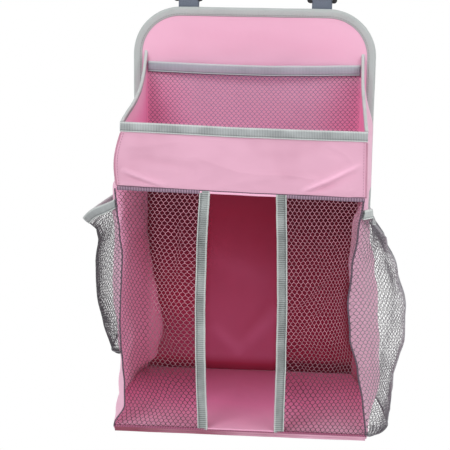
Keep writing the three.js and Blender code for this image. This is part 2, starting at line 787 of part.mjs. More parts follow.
// The socket half: a flat box, open at the top, with a window at each side and a bar below.
function socket() {
  const [low, high] = [BUCKLE_RISE, BUCKLE_RISE + SOCKET_HEIGHT];
  const front = BUCKLE_MIDDLE - BUCKLE_THICKNESS / 2;
  const back = BUCKLE_MIDDLE + BUCKLE_THICKNESS / 2;
  const [roomFront, roomBack] = [front + BUCKLE_WALL, back - BUCKLE_WALL];
  const slotTop = low + BAR_HEIGHT + SLOT_HEIGHT;
  const inside = BUCKLE_WIDTH / 2 - BUCKLE_WALL;
  const windowLow = low + WINDOW_RISE;
  const windowTop = windowLow + WINDOW_HEIGHT;
  const webbingHalf = STRAP_WIDTH / 2 + FIT;
  const barSide = (BUCKLE_THICKNESS - BAR_DEPTH) / 2;
  return cut(
    upright(rounded(BUCKLE_WIDTH, low, high, SOCKET_CORNER), BUCKLE_THICKNESS, front),
    box([-inside, roomFront, slotTop + BUCKLE_WALL], [inside, roomBack, high + 1]),
    box([-BUCKLE_WIDTH, roomFront, windowLow], [BUCKLE_WIDTH, roomBack, windowTop]),
    box([-webbingHalf, front - 1, low + BAR_HEIGHT], [webbingHalf, back + 1, slotTop]),
    box([-webbingHalf, front - 1, low - 1], [webbingHalf, front + barSide, slotTop]),
    box([-webbingHalf, back - barSide, low - 1], [webbingHalf, back + 1, slotTop]),
  );
}

// The plug half: a head with the webbing's bar, and a tongue that guides it into the socket.
function plug() {
  const [low, high] = [plugBottom, plugBottom + PLUG_HEIGHT];
  const front = BUCKLE_MIDDLE - BUCKLE_THICKNESS / 2 + PLUG_INSET;
  const back = BUCKLE_MIDDLE + BUCKLE_THICKNESS / 2 - PLUG_INSET;
  const thick = back - front;
  const slotTop = high - BAR_HEIGHT;
  const slotLow = slotTop - SLOT_HEIGHT;
  const webbingHalf = STRAP_WIDTH / 2 + FIT;
  const barSide = (thick - BAR_DEPTH) / 2;
  const head = cut(
    upright(rounded(BUCKLE_WIDTH - 3 * PLUG_INSET, low, high, PLUG_CORNER), thick, front),
    box([-webbingHalf, front - 1, slotLow], [webbingHalf, back + 1, slotTop]),
    box([-webbingHalf, front - 1, slotLow], [webbingHalf, front + barSide, high + 1]),
    box([-webbingHalf, back - barSide, slotLow], [webbingHalf, back + 1, high + 1]),
  );
  const tongue = box(
    [-TONGUE_WIDTH / 2, BUCKLE_MIDDLE - ARM_DEPTH / 2, low - TONGUE_LENGTH],
    [TONGUE_WIDTH / 2, BUCKLE_MIDDLE + ARM_DEPTH / 2, low + 1],
  );
  return join(head, tongue);
}

const armRoot = BUCKLE_WIDTH / 2 - BUCKLE_WALL - FIT - ARM_WIDTH;

// A sprung arm of the plug, with the hook that looks out of the socket's window.
function arm(hand) {
  const top = plugBottom - FIT;
  const outer = armRoot + ARM_WIDTH;
  const hookTop = BUCKLE_RISE + WINDOW_RISE + WINDOW_HEIGHT - FIT;
  const shape = new THREE.Shape();
  shape.moveTo(hand * armRoot, top);
  shape.lineTo(hand * armRoot, top - ARM_LENGTH);
  shape.lineTo(hand * outer, top - ARM_LENGTH);
  shape.lineTo(hand * (outer + HOOK_REACH), hookTop - HOOK_LENGTH / 2);
  shape.lineTo(hand * (outer + HOOK_REACH), hookTop);
  shape.lineTo(hand * outer, hookTop);
  shape.lineTo(hand * outer, top);
  return upright(shape, ARM_DEPTH, BUCKLE_MIDDLE - ARM_DEPTH / 2);
}

function moved(geometry, x) {
  return geometry.translate(x, 0, 0);
}

// One hanger: the strap, the tab, the socket, the plug and its two arms.
function hanger(side) {
  const x = sign[side] * STRAP_HALF;
  return [
    piece(`${side}_strap`, strip(strapPath(), x), webbing),
    piece(`${side}_buckle_tab`, strip(tabPath(), x), webbing),
    piece(`${side}_buckle_socket`, moved(socket(), x), blackPlastic),
    piece(`${side}_buckle_plug`, moved(plug(), x), blackPlastic),
    piece(`${side}_buckle_outer_arm`, moved(arm(sign[side]), x), blackPlastic),
    piece(`${side}_buckle_inner_arm`, moved(arm(-sign[side]), x), blackPlastic),
  ];
}

// The sewn ends of the webbing lie on the rear of the panel, the tab's two under the strap's.
function anchors(side) {
  const x = sign[side] * STRAP_HALF;
  const top = FOLD_RISE - FIT / 2;
  const straight = (y) => [[y, top], [y, top - ANCHOR_LENGTH]];
  return [
    piece(`${side}_tab_front_end`, strip(straight(BUCKLE_MIDDLE - wrap), x), webbing),
    piece(`${side}_tab_back_end`, strip(straight(BUCKLE_MIDDLE + wrap), x), webbing),
    piece(`${side}_strap_end`, strip(straight(strapRear), x), webbing),
  ];
}

// The whole caddy, in the panel's own frame: its top edge at height zero, its front face at Y zero
const caddy = new THREE.Group();
caddy.name = "caddy";
caddy.position.set(0, -(RAIL_FRONT + RAIL_DEPTH / 2), -PANEL_UNDER_RAIL);
caddy.add(backPanel());
caddy.add(trayFront(), trayFrontBinding());
caddy.add(...stiffFloor("tray_floor", TRAY_DROP, depthAt(-TRAY_DROP) - CLOTH - FIT));
caddy.add(...stiffFloor("base", BASE_DROP, BASE_DEPTH));
caddy.add(...innerPocket());
for (const side of ["left", "right"]) {
  caddy.add(sidePanel(side), traySideBinding(side));
  caddy.add(frontNet(side), slotBinding(side), frontSeam(side));
  caddy.add(...hanger(side), ...anchors(side));
}
caddy.add(...sidePocket("left", LEFT_POCKET), ...sidePocket("right", RIGHT_POCKET));

const root = new THREE.Group();
root.add(caddy);

export default root;
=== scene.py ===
import json
import math

import bmesh
import bpy
from mathutils import Matrix, Vector, noise

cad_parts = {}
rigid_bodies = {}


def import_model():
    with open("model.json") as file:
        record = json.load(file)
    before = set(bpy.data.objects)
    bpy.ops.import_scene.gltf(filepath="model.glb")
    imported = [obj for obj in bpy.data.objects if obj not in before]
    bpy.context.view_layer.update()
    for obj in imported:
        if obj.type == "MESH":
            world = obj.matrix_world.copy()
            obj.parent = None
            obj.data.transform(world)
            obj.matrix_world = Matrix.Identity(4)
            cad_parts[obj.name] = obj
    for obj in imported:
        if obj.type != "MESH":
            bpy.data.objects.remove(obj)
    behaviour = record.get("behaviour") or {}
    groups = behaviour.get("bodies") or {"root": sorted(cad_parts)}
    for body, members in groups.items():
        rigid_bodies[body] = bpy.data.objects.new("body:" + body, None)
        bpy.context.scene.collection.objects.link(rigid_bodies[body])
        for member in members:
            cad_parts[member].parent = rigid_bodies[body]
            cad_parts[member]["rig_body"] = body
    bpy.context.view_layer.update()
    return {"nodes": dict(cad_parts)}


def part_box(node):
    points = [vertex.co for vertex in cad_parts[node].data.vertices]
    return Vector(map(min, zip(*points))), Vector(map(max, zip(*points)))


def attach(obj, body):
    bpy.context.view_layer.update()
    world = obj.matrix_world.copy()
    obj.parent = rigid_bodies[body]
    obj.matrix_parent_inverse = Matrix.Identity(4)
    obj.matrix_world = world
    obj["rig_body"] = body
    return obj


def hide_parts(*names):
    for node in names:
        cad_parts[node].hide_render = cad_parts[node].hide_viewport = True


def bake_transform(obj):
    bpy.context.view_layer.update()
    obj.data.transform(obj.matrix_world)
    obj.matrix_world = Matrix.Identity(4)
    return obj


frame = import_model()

bl_info = {
    "name": "Hanging nursery caddy",
    "version": (1, 0, 0),
    "blender": (4, 5, 0),
    "location": "3D View > Sidebar > Caddy",
    "description": "Dresses a hanging fabric caddy in cloth, netting, ribbon, webbing and buckles",
    "category": "Object",
}

# The frame is in metres, and the sizes of the sewn pieces are in millimetres from the panel's top edge.
MM = 0.001
PANEL_LOW, PANEL_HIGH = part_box("back_panel_front_cloth")
PANEL_TOP = PANEL_HIGH.z
PANEL_FRONT = PANEL_LOW.y
PANEL_WIDTH = (PANEL_HIGH.x - PANEL_LOW.x) / MM
PANEL_HEIGHT = (PANEL_HIGH.z - PANEL_LOW.z) / MM

# Cloth, board and trim
CLOTH = 1.2
BOARD = 2.6
FIT = 0.3
TRIM = 1.2
BAND = 12
RIB_RELIEF = 0.13
PANEL_THICK = CLOTH + FIT + BOARD + FIT + CLOTH
PANEL_TOP_RADIUS = 58
PANEL_BOTTOM_RADIUS = 18

# Sides, tray and base
SIDE_BACK_HALF = PANEL_WIDTH / 2 - 14
SIDE_RIM_HALF = PANEL_WIDTH / 2 - 13
SIDE_TRAY_HALF = PANEL_WIDTH / 2 - 10
SIDE_BASE_HALF = PANEL_WIDTH / 2 - 4
# How far each side stands out at the middle of its depth, evenly from the tray down to the base
SIDE_BULGE = {
    "left": (0, 10, 14.6, 17, 17.5, 14, 5.5, 11.5, 7),
    "right": (0, 3.3, 7.8, 19.5, 26.2, 24.4, 22.5, 21.3, 7),
}
SIDE_BASE_BULGE = 5
TRAY_BULGE = 5
# How far the front nets pull each corner seam in, evenly from the tray down to the base
FRONT_PULL = {
    "left": (-3, -0.3, 2.7, 6, 5.2, 4, 3.6, 4.6, 7.2, 9.5, 11, 0),
    "right": (2.5, 8, 14, 18, 15.5, 6, 0, -2),
}
TRAY_SIDE_BULGE = {"left": 0, "right": 9.5}
# A side's cloth bows just behind its front seam, outwards on the left and inwards on the right,
# and folds in at its rear.
NEAR_BOW = {
    "left": (7, 6, 5, 5, 4, 2, 0, 2, 3, 3, 0),
    "right": (-3, -10, -10, -10, -6, -5, -9, -6, -2, 0, 0),
}
NEAR_REACH = {"left": 0.3, "right": 0.18}
REAR_FOLD = {"left": (0, 0, 2, 8, 14, 19, 24, 27, 29, 24, -4), "right": (0, 0)}
SIDE_EASE = 1.5
BULGE_POWER = 0.85
# The rear fold's place and width, as shares of the depth
REAR_PLACE, REAR_WIDTH = 0.13, 0.1
RIM_BACK_DROP = 54
RIM_CURVE_DROP = 38
RIM_SLOPE_DROP = 18
RIM_CURVE_POWER = 8
RIM_DEPTH = 200
FRONT_RIM_DROP = RIM_BACK_DROP + RIM_CURVE_DROP + RIM_SLOPE_DROP
TRAY_DROP = 184
TRAY_UNDER = TRAY_DROP + PANEL_THICK
TRAY_DEPTH = 211
TRAY_SWELL = 4
TRAY_SAG = 0.8
RIM_SAG = 0.9
RIM_BOW = 0.8
TRAY_FLAT = (0.279, 0.208)
# The tray's floor is raised at its front on the left, and its rim is lowered on the right, by twice these.
FLOOR_RAISED = 3.2
RIM_LOWERED = 2.5
BASE_DROP = PANEL_HEIGHT - 21
BASE_UNDER = BASE_DROP + PANEL_THICK
BASE_DEPTH = 201
BASE_FLAT = (0.302, 0.201)

# Net pocket inside the tray
INNER_DROP = 67
INNER_HALF = SIDE_BACK_HALF - 3
INNER_BOW = 12
INNER_STAND = 2.8
INNER_SAG = 0.8

# Middle slot and corner seams
SLOT_HALF = 38
SLOT_SHIFT = 1.5
SLOT_BOW = 3
# Creases of the front nets, in millimetres from the slot and up from the base: two ends, reach,
# and how far the threads draw in
NET_CREASES = {
    "left": (
        ((32, 258), (26, 176), 9, 0.5), ((58, 150), (30, 96), 8, 0.4), ((12, 62), (56, 24), 8, 0.35),
    ),
    "right": (
        ((0, 114), (40, 72), 8, 0.5), ((14, 150), (74, 200), 9, 0.45), ((22, 122), (70, 168), 8, 0.4),
        ((4, 66), (58, 8), 8, 0.4),
    ),
}
SEAM_WIDTH = {"left": 1.6, "right": 2.2}
TRAY_EDGE = 3.4
NET_STAND = 0.5
# How far the front nets' rows climb towards the corner, and the radii of the corded seams
NET_CLIMB = 9
TRAY_CORD, CORNER_CORD, BASE_CORD = 0.45, 1.1, 0.55

# Folds of the cloth, each a line in millimetres across and down the cloth, its width and its height
WALL_FOLDS = (
    ((-10, -454), (-52, -412), 8, 1), ((-20, -454), (44, -384), 10, 1),
    ((-56, -318), (26, -352), 14, 0.6), ((-14, -436), (30, -372), 8, -0.5),
)
TRAY_FOLDS = (
    ((66, -183), (134, -146), 3, 5.0), ((70, -186), (137, -154), 4, -3.0),
    ((-140, -140), (-70, -128), 5, 2.6), ((-138, -150), (-50, -162), 6, -2.2),
    ((-136, -166), (-84, -184), 3.4, 4.6), ((-136, -171), (-84, -189), 4, -2.4),
    ((-30, -182), (50, -164), 6, 1.6),
)
# Painted highlights along the tray's creases, where the cloth is made lighter
TRAY_CREASE_HIGHLIGHTS = (((66, -183), (134, -146), 2.4, 0.10), ((-136, -166), (-84, -184), 2.4, 0.05))

# Stitches
STITCH_PITCH = 3.4
STITCH_LENGTH = 2.4

# Side pockets
POCKET_LENGTH = 230
POCKET_BOTTOM = 22
POCKET_START = 1.0
POCKET_END = 0.02
POCKET_GAP = 2
SWELL_POWER = 0.75
FRONT_POWER = 0.8
TIP_ROUND = 0.07
# The place and width of the lobe of a rim beside the front corner, and the gap between a pocket and its side there
LOBE_PLACE, LOBE_WIDTH = 0.07, 0.05
CORNER_GAP = 0.8
# out is how far a pocket stands off its side at its fold, evenly from the bottom to the rim; tip is the
# fold's place, from the panel to the front corner; tight and heavy are the net's mesh and thread.
POCKETS = {
    "left": {
        "rim_front": 203, "rim_rear": 214, "rim_sag": 34, "bottom_drop": 382, "bottom_sag": 16.5, "tip": 0.68,
        "out": (12, 13, 15, 17, 18.8, 20.2, 21.5, 22.5, 23.5, 23.5, 22.5, 24.5, 41),
        "gather": 0, "folds": 5, "uneven": 0.35, "lobe": 0, "dip_from": 0,
        "tight": 0.9, "heavy": 1.13, "front_full": 0,
    },
    "right": {
        "rim_front": 202, "rim_rear": 214, "rim_sag": 27, "bottom_drop": 474, "bottom_sag": 16, "tip": 0.62,
        "out": (20, 22, 14.5, 16, 24.5, 30.5, 34, 33.5, 30.5, 28.5, 25.5, 20, 0.5),
        "gather": 1.3, "folds": 4, "uneven": 0.9, "lobe": 6, "dip_from": 0.07,
        "tight": 1.0, "heavy": 1.15, "front_full": 0.27,
    },
}

# Webbing and buckles
STRAP_HALF = PANEL_WIDTH / 2 - 67
STRAP_WIDTH = 25
STRAP = 1.5
RAIL_HEIGHT = 70
RAIL_DEPTH = 26
PANEL_UNDER_RAIL = -PANEL_TOP / MM
ANCHOR_LENGTH = 42
BUCKLE_RISE = 8
BUCKLE_THICKNESS = 11
SOCKET_HEIGHT = 38
PLUG_HEIGHT = 17
BAR_HEIGHT = 3.2
BAR_DEPTH = 2.8
TAIL_RISE = 12
STRAP_CORNER = 6
TAB_FRONT = PANEL_THICK + 2 * FIT + TRIM
BUCKLE_MIDDLE = TAB_FRONT + STRAP + FIT + BAR_DEPTH / 2
RAIL_FRONT = BUCKLE_MIDDLE + BUCKLE_THICKNESS / 2 + FIT + STRAP
FOLD_RISE = TRIM + 2 * FIT
WRAP = BAR_DEPTH / 2 + FIT + STRAP / 2
STRAP_REAR = BUCKLE_MIDDLE + WRAP + STRAP + FIT
PLUG_BAR = BUCKLE_RISE + SOCKET_HEIGHT + FIT + PLUG_HEIGHT - BAR_HEIGHT / 2

SIGN = {"left": -1, "right": 1}
RIGHT, BACK, AHEAD, UP = (1, 0, 0), (0, 1, 0), (0, -1, 0), (0, 0, 1)


# Numbers
def lerp(a, b, t):
    """The value a share t of the way from a to b."""
    return a + (b - a) * t


def clamp(x):
    return min(1.0, max(0.0, x))


def smooth(x):
    """0 up to 0 and 1 from 1 on, eased in between."""
    x = clamp(x)
    return x * x * (3 - 2 * x)


def shares(count):
    """Evenly spaced shares from 0 to 1."""
    return [i / count for i in range(count + 1)]


def hump(t):
    """0 at 0 and 1, and 1 half way."""
    return math.sin(math.pi * clamp(t))


def along(stations, t, ease=smooth):
    """The value a share of the way along evenly spaced stations, eased from one to the next."""
    place = clamp(t) * (len(stations) - 1)
    i = min(len(stations) - 2, int(place))
    return lerp(stations[i], stations[i + 1], ease(place - i))


def held(s, v, across, upward):
    """0 along the seams round a cloth and 1 inside them, so that its folds leave the seams alone."""
    return smooth(min(s, 1 - s) * across) * smooth(min(v, 1 - v) * upward)


def ripple(x, y, scale, seed):
    """A smooth, repeatable unevenness from about -1 to 1, with bumps of the given size."""
    return noise.noise(Vector((x / scale, y / scale, seed * 7.31)))


def ridge(x, y, start, end, width):
    """1 on the line from start to end, falling to 0 a width away and towards both ends."""
    line = Vector(end) - Vector(start)
    point = Vector((x, y)) - Vector(start)
    share = point.dot(line) / line.length_squared
    off = abs(point.cross(line)) / line.length
    return math.exp(-((off / width) ** 2)) * hump(share) ** 0.5


def ridges(x, y, folds):
    """The height of all these folds at a place."""
    return sum(high * ridge(x, y, start, end, width) for start, end, width, high in folds)


def settle(x, y, z):
    """How far the tray's front hangs out of level, up on the left and down on the right."""
    front = clamp(-y / RIM_DEPTH)
    height = clamp((z + TRAY_UNDER) / (TRAY_UNDER - FRONT_RIM_DROP))
    middle = lerp(FLOOR_RAISED, -RIM_LOWERED, height)
    slope = -lerp(FLOOR_RAISED, RIM_LOWERED, height)
    below = smooth((z + BASE_DROP) / (BASE_DROP - TRAY_UNDER))
    return front * below * (middle + slope * x / SIDE_TRAY_HALF)


def spot(x, y, z):
    """A point in millimetres from the middle of the panel's top edge, in metres of the frame."""
    return Vector((x * MM, PANEL_FRONT + y * MM, PANEL_TOP + (z + settle(x, y, z)) * MM))


# The box that the cloth makes
def down(z):
    """0 at the tray's underside and 1 at the base."""
    return clamp((-z - TRAY_UNDER) / (BASE_DROP - TRAY_UNDER))


def rim_z(t):
    """The height of the side's rim at a share of the depth."""
    curve = RIM_CURVE_DROP * (1 - (1 - t) ** RIM_CURVE_POWER)
    return -RIM_BACK_DROP - curve - RIM_SLOPE_DROP * t


def tray_share(z):
    """0 at the front rim and 1 at the tray's underside."""
    return clamp((-FRONT_RIM_DROP - z) / (TRAY_UNDER - FRONT_RIM_DROP))


def below_band(z):
    """0 at the lower edge of the rim's ribbon and 1 at the tray's underside."""
    band = -FRONT_RIM_DROP - BAND - FIT
    return clamp((band - z) / (TRAY_UNDER + band))


def depth_at(z):
    """How far the front is from the panel at a height."""
    return lerp(lerp(RIM_DEPTH, TRAY_DEPTH, tray_share(z)), BASE_DEPTH, down(z))


def front_half(side, z):
    """Half the width along the corner seam."""
    swell = TRAY_BULGE * hump(below_band(z)) if side == "left" else 0
    tray = lerp(SIDE_RIM_HALF, SIDE_TRAY_HALF, below_band(z))
    foot = 2.5 * smooth((down(z) - 0.8) * 5)
    pull = along(FRONT_PULL[side], down(z)) * clamp((-TRAY_UNDER + TRAY_EDGE - z) / TRAY_EDGE)
    rim = 2 * (1 - below_band(z)) if side == "right" else 0
    return lerp(tray, SIDE_BASE_HALF, down(z)) + swell + foot + rim - pull


def half_at(side, t, z, inside=True):
    """Half the width at a share of the depth; the folds that only the cloth itself makes can be left out."""
    bulge = along(SIDE_BULGE[side], down(z)) + SIDE_BASE_BULGE * down(z)
    bulge += TRAY_SIDE_BULGE[side] * smooth((rim_z(t) - z - 4) / 14) * (1 - down(z)) ** 2
    near = along(NEAR_BOW[side], down(z)) * smooth((-z - TRAY_DROP + 20) / 20) * hump((1 - t) / NEAR_REACH[side])
    rear = -along(REAR_FOLD[side], down(z)) * math.exp(-(((t - REAR_PLACE) / REAR_WIDTH) ** 2)) * smooth(t * 20)
    half = lerp(SIDE_BACK_HALF, front_half(side, z), t) + bulge * hump(t) ** BULGE_POWER
    return half + (near + rear if inside else max(0, near))


def slot_edge(side, z):
    """The x of the edge of the middle slot."""
    spread = SLOT_BOW * hump(down(z)) + (2.2 * down(z) ** 3 if side == "right" else -2.2 * (1 - down(z)) ** 5)
    return SIGN[side] * (SLOT_HALF + spread) + SLOT_SHIFT


def panel_half(z):
    """Half the panel's width at a height, with its rounded corners."""
    for radius, past in (
        (PANEL_TOP_RADIUS, z + PANEL_TOP_RADIUS), (PANEL_BOTTOM_RADIUS, PANEL_BOTTOM_RADIUS - PANEL_HEIGHT - z),
    ):
        if past > 0:
            return PANEL_WIDTH / 2 - radius + math.sqrt(max(0, radius**2 - past**2))
    return PANEL_WIDTH / 2


# Meshes
def shown(name, data):
    """A new object of the scene."""
    made = bpy.data.objects.new(name, data)
    bpy.context.scene.collection.objects.link(made)
    return made


def piece(name, points, faces, look, body="caddy", slot=None, coordinates=None, shades=None, painted_glows=None):
    """A mesh piece that rides on a body, with its own flat pattern, its painted shade and its painted glow."""
    mesh = bpy.data.meshes.new(name)
    mesh.from_pydata([tuple(p) for p in points], [], faces)
    if coordinates:
        layer = mesh.uv_layers.new(name="flat")
        for loop in mesh.loops:
            layer.data[loop.index].uv = coordinates[loop.vertex_index]
    # Per point, depth holds the painted shade and painted_glow the painted glow.
    for attribute, values in (("depth", shades), ("painted_glow", painted_glows)):
        layer = mesh.attributes.new(attribute, "FLOAT", "POINT")
        layer.data.foreach_set("value", values or [0.0] * len(points))
    work = bmesh.new()
    work.from_mesh(mesh)
    bmesh.ops.recalc_face_normals(work, faces=work.faces)
    work.to_mesh(mesh)
    work.free()
    mesh.polygons.foreach_set("use_smooth", [True] * len(mesh.polygons))
    mesh.materials.append(finish(look))
    made = shown(name, mesh)
    if body:
        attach(made, body)
    slot or SLOTS[look]
    return made


def grid_normals(grid):
    """The normal at each point of a grid of rows of points."""
    rows, columns = len(grid) - 1, len(grid[0]) - 1
    normals = []
    for j in range(rows + 1):
        line = []
        for i in range(columns + 1):
            across = grid[j][min(columns, i + 1)] - grid[j][max(0, i - 1)]
            upward = grid[min(rows, j + 1)][i] - grid[max(0, j - 1)][i]
            normal = across.cross(upward)
            line.append(normal.normalized() if normal.length > 1e-12 else Vector(AHEAD))
        normals.append(line)
    return normals


def sheet(name, columns, rows, face, thick, size, look, shade=None, glow=None):
    """A closed sheet whose middle is face(s, v), in millimetres.

    shade(s, v, outer) is its painted shade, by how deep inside the caddy it is, and glow(s, v, outer) its painted
    glow."""
    grid = [[spot(*face(i / columns, j / rows)) for i in range(columns + 1)] for j in range(rows + 1)]
    normals = grid_normals(grid)
    points, coordinates, shades, painted_glows, faces = [], [], [], [], []
    for outer in (True, False):
        offset = thick / 2 * MM * (1 if outer else -1)
        for j in range(rows + 1):
            for i in range(columns + 1):
                points.append(grid[j][i] + normals[j][i] * offset)
                coordinates.append((i / columns * size[0] * MM, j / rows * size[1] * MM))
                shades.append(shade(i / columns, j / rows, outer) if shade else 0.0)
                painted_glows.append(glow(i / columns, j / rows, outer) if glow else 0.0)
    count = (columns + 1) * (rows + 1)

    def at(layer, i, j):
        return layer * count + j * (columns + 1) + i

    for j in range(rows):
        for i in range(columns):
            faces.append((at(0, i, j), at(0, i + 1, j), at(0, i + 1, j + 1), at(0, i, j + 1)))
            faces.append((at(1, i, j), at(1, i, j + 1), at(1, i + 1, j + 1), at(1, i + 1, j)))
    for i in range(columns):
        faces.append((at(0, i + 1, 0), at(0, i, 0), at(1, i, 0), at(1, i + 1, 0)))
        faces.append((at(0, i, rows), at(0, i + 1, rows), at(1, i + 1, rows), at(1, i, rows)))
    for j in range(rows):
        faces.append((at(0, 0, j), at(0, 0, j + 1), at(1, 0, j + 1), at(1, 0, j)))
        faces.append((at(0, columns, j + 1), at(0, columns, j), at(1, columns, j), at(1, columns, j + 1)))
    return piece(name, points, faces, look, coordinates=coordinates, shades=shades, painted_glows=painted_glows)


def sweep(name, section, frames, look, closed=False, shade=None, rib=0.0, body="caddy"):
    """A closed section of (a, b) pairs carried along frames of (origin, a direction, b direction).

    Every other frame stands out and every one between stands back by rib, where the section's shade is 0."""
    points, coordinates, shades, faces = [], [], [], []
    count = len(section)
    lengths = [0.0]
    for p, q in zip(section, section[1:]):
        lengths.append(lengths[-1] + math.dist(p, q))
    run = 0.0
    before = None
    for f, (origin, a, b) in enumerate(frames):
        middle = Vector(origin)
        run += (middle - before).length if before else 0.0
        before = middle
        for k, (x, y) in enumerate(section):
            ribbed_here = rib and shade and shade(0, k) == 0
            grown = 1 + rib * (1 if f % 2 else -1) / max(1.0, abs(x)) if ribbed_here else 1
            points.append(spot(*(middle + Vector(a) * x * grown + Vector(b) * y)))
            coordinates.append((run * MM, lengths[k] * MM))
            shades.append(shade(f / (len(frames) - 1), k) if shade else 0.0)
    steps = len(frames) if closed else len(frames) - 1
    for f in range(steps):
        g = (f + 1) % len(frames)
        for k in range(count):
            n = (k + 1) % count
            faces.append((f * count + k, f * count + n, g * count + n, g * count + k))
    if not closed:
        faces.append(tuple(range(count)))
        faces.append(tuple((len(frames) - 1) * count + k for k in reversed(range(count))))
    return piece(name, points, faces, look, body, coordinates=coordinates, shades=shades)


def turned_over(outside, flat, steps):
    """The round of a ribbon folded over an edge, from its front leg to its rear one."""
    turns = [math.pi * i / (2 * steps) for i in range(2 * steps + 1)]
    return [(-outside * math.cos(turn), outside * flat * (math.sin(turn) - 1)) for turn in turns]


def fold_section(inside, height):
    """The section of a ribbon folded over an edge, each point with its tone: below 0 lighter, above 0 darker.

    Its legs end in a smooth edge, with a row of stitches beside it, and ribs from there to the fold at b = 0, whose
    round is painted lighter as a painted highlight."""
    edge, sewn = -height + 1.2, -height + 2.7
    legs = ((-height, 0.6, -0.5), (edge, 0.85, -0.5), (edge + 0.2, 0.7, 0.5), (sewn, 0.7, 0.35))
    legs += ((sewn + 0.3, 1, 0), (-2.2, 1, 0), (-1.7, 1, -0.4))
    trim = TRIM * 0.8
    section = [(-inside - trim * share, b, tone) for b, share, tone in legs]
    # The round of the fold is painted lighter: a painted highlight.
    section += [(a, b, -0.45) for a, b in turned_over(inside + trim, 0.55, 4)]
    section += [(inside + trim * share, b, tone) for b, share, tone in legs[::-1]]
    inner = ((inside, -height), (inside, -trim - 0.6), (-inside, -trim - 0.6), (-inside, -height))
    return section + [(a, b, 0.0) for a, b in inner]


def ring(radius, count):
    """A round section."""
    turns = [2 * math.pi * i / count for i in range(count)]
    return [(radius * math.cos(turn), radius * math.sin(turn)) for turn in turns]


def stitches(name, path, out, look, slot=None, thick=0.5):
    """A row of sewn stitches along a path, standing out of the cloth in direction out."""
    points, faces = [], []
    up = Vector(out) * thick * 0.55
    run = 0.0
    for p, q in zip(path, path[1:]):
        p, q = Vector(p), Vector(q)
        step = (q - p).length
        while run < step:
            middle = p.lerp(q, run / step)
            forward = (q - p).normalized() * STITCH_LENGTH / 2
            beside = forward.normalized().cross(up.normalized()) * thick / 2
            a = len(points)
            for share, lift in ((-1, 0), (-0.5, 1), (0.5, 1), (1, 0)):
                for edge in (-1, 1):
                    points.append(spot(*(middle + forward * share + up * lift + beside * edge * (0.4 + 0.6 * lift))))
            for share in (1, -1):
                points.append(spot(*(middle + forward * share * 0.9 - up)))
            faces += [(a, a + 2, a + 3, a + 1), (a + 2, a + 4, a + 5, a + 3), (a + 4, a + 6, a + 7, a + 5)]
            faces += [(a + 6, a + 8, a + 7), (a, a + 1, a + 9)]
            faces += [(a, a + 9, a + 8, a + 6, a + 4, a + 2), (a + 1, a + 3, a + 5, a + 7, a + 8, a + 9)]
            run += STITCH_PITCH
        run -= step
    return piece(name, points, faces, look, slot=slot)


def netting(name, width, height, lay, look, shade=None, tight=1.0, heavy=1.0, flat=1.0):
    """Six-sided netting, width by height in millimetres, laid on a surface by lay(x, y).

    tight, heavy and flat scale its gaps, its thread and the gaps' height; shade(point) is the thread's tone."""
    sizes = bpy.context.scene.caddy_sizes
    rise = sizes.mesh_rise / MM * tight * flat
    thread = sizes.thread_width / MM * heavy
    thick = sizes.thread_depth / MM * heavy
    shoulder = sizes.mesh_shoulder / MM * tight * flat ** 2
    tip = rise - shoulder
    columns = max(1, round(width / (sizes.mesh_across / MM * tight)))
    rows = max(1, round(height / rise))
    across, rise = width / columns, height / rows
    corners, index, faces = [], {}, []

    def corner(x, y):
        key = (round(x * 20), round(y * 20))
        if key not in index:
            index[key] = len(corners)
            corners.append((x, y))
        return index[key]

    offsets = ((0, -tip), (across / 2, -shoulder), (across / 2, shoulder))
    offsets += ((0, tip), (-across / 2, shoulder), (-across / 2, -shoulder))
    cells = []
    for j in range(rows):
        for i in range(columns - j % 2):
            x = across * (i + 0.5 + 0.5 * (j % 2))
            y = rise * (j + 0.5)
            cells.append((x, y, [corner(x + dx, y + dy) for dx, dy in offsets]))
    points = []
    for lift in (1, -1):
        for x, y in corners:
            middle = Vector(lay(x, y))
            right = Vector(lay(x + 1, y)) - middle
            upward = Vector(lay(x, y + 1)) - middle
            normal = right.cross(upward).normalized()
            points.append(spot(*(middle + normal * thick / 2 * lift)))
    total = len(corners)
    used = {}
    for x, y, cell in cells:
        base = len(points)
        for dx, dy in offsets:
            inward = 1 - thread / 2 / (0.86 * math.hypot(dx, dy))
            points.append(spot(*lay(x + dx * inward, y + dy * inward)))
        for k in range(6):
            n = (k + 1) % 6
            faces.append((cell[k], cell[n], base + n, base + k))
            faces.append((cell[n] + total, cell[k] + total, base + k, base + n))
            used[(cell[k], cell[n])] = True
    for a, b in used:
        if (b, a) not in used:
            faces.append((b, a, a + total, b + total))
    return piece(name, points, faces, look, shades=[shade(p) for p in points] if shade else None)


# Finishes
def linear(code):
    """An sRGB hex value as the linear colour that the renderer takes."""
    parts = [int(code[i:i + 2], 16) / 255 for i in (0, 2, 4)]
    return [p / 12.92 if p <= 0.04045 else ((p + 0.055) / 1.055) ** 2.4 for p in parts] + [1.0]


# A wave texture's scale is this over the metres between two of its bands.
WAVE = 0.314


def add(material, kind, values=None, to=None, stops=None, **settings):
    """Adds a node with its settings, its sockets' values and links and its colour stops, and gives its outputs."""
    made = material.node_tree.nodes.new(kind)
    for name, value in settings.items():
        setattr(made, name, value)
    for socket, value in (values or {}).items():
        if isinstance(value, bpy.types.NodeSocket):
            material.node_tree.links.new(value, made.inputs[socket])
        else:
            made.inputs[socket].default_value = value
    if stops:
        elements = made.color_ramp.elements
        while len(elements) < len(stops):
            elements.new(1.0)
        for element, (place, colour) in zip(elements, stops):
            element.position = place
            element.color = colour
    if to is not None:
        material.node_tree.links.new(made.outputs[0], to)
    return made.outputs


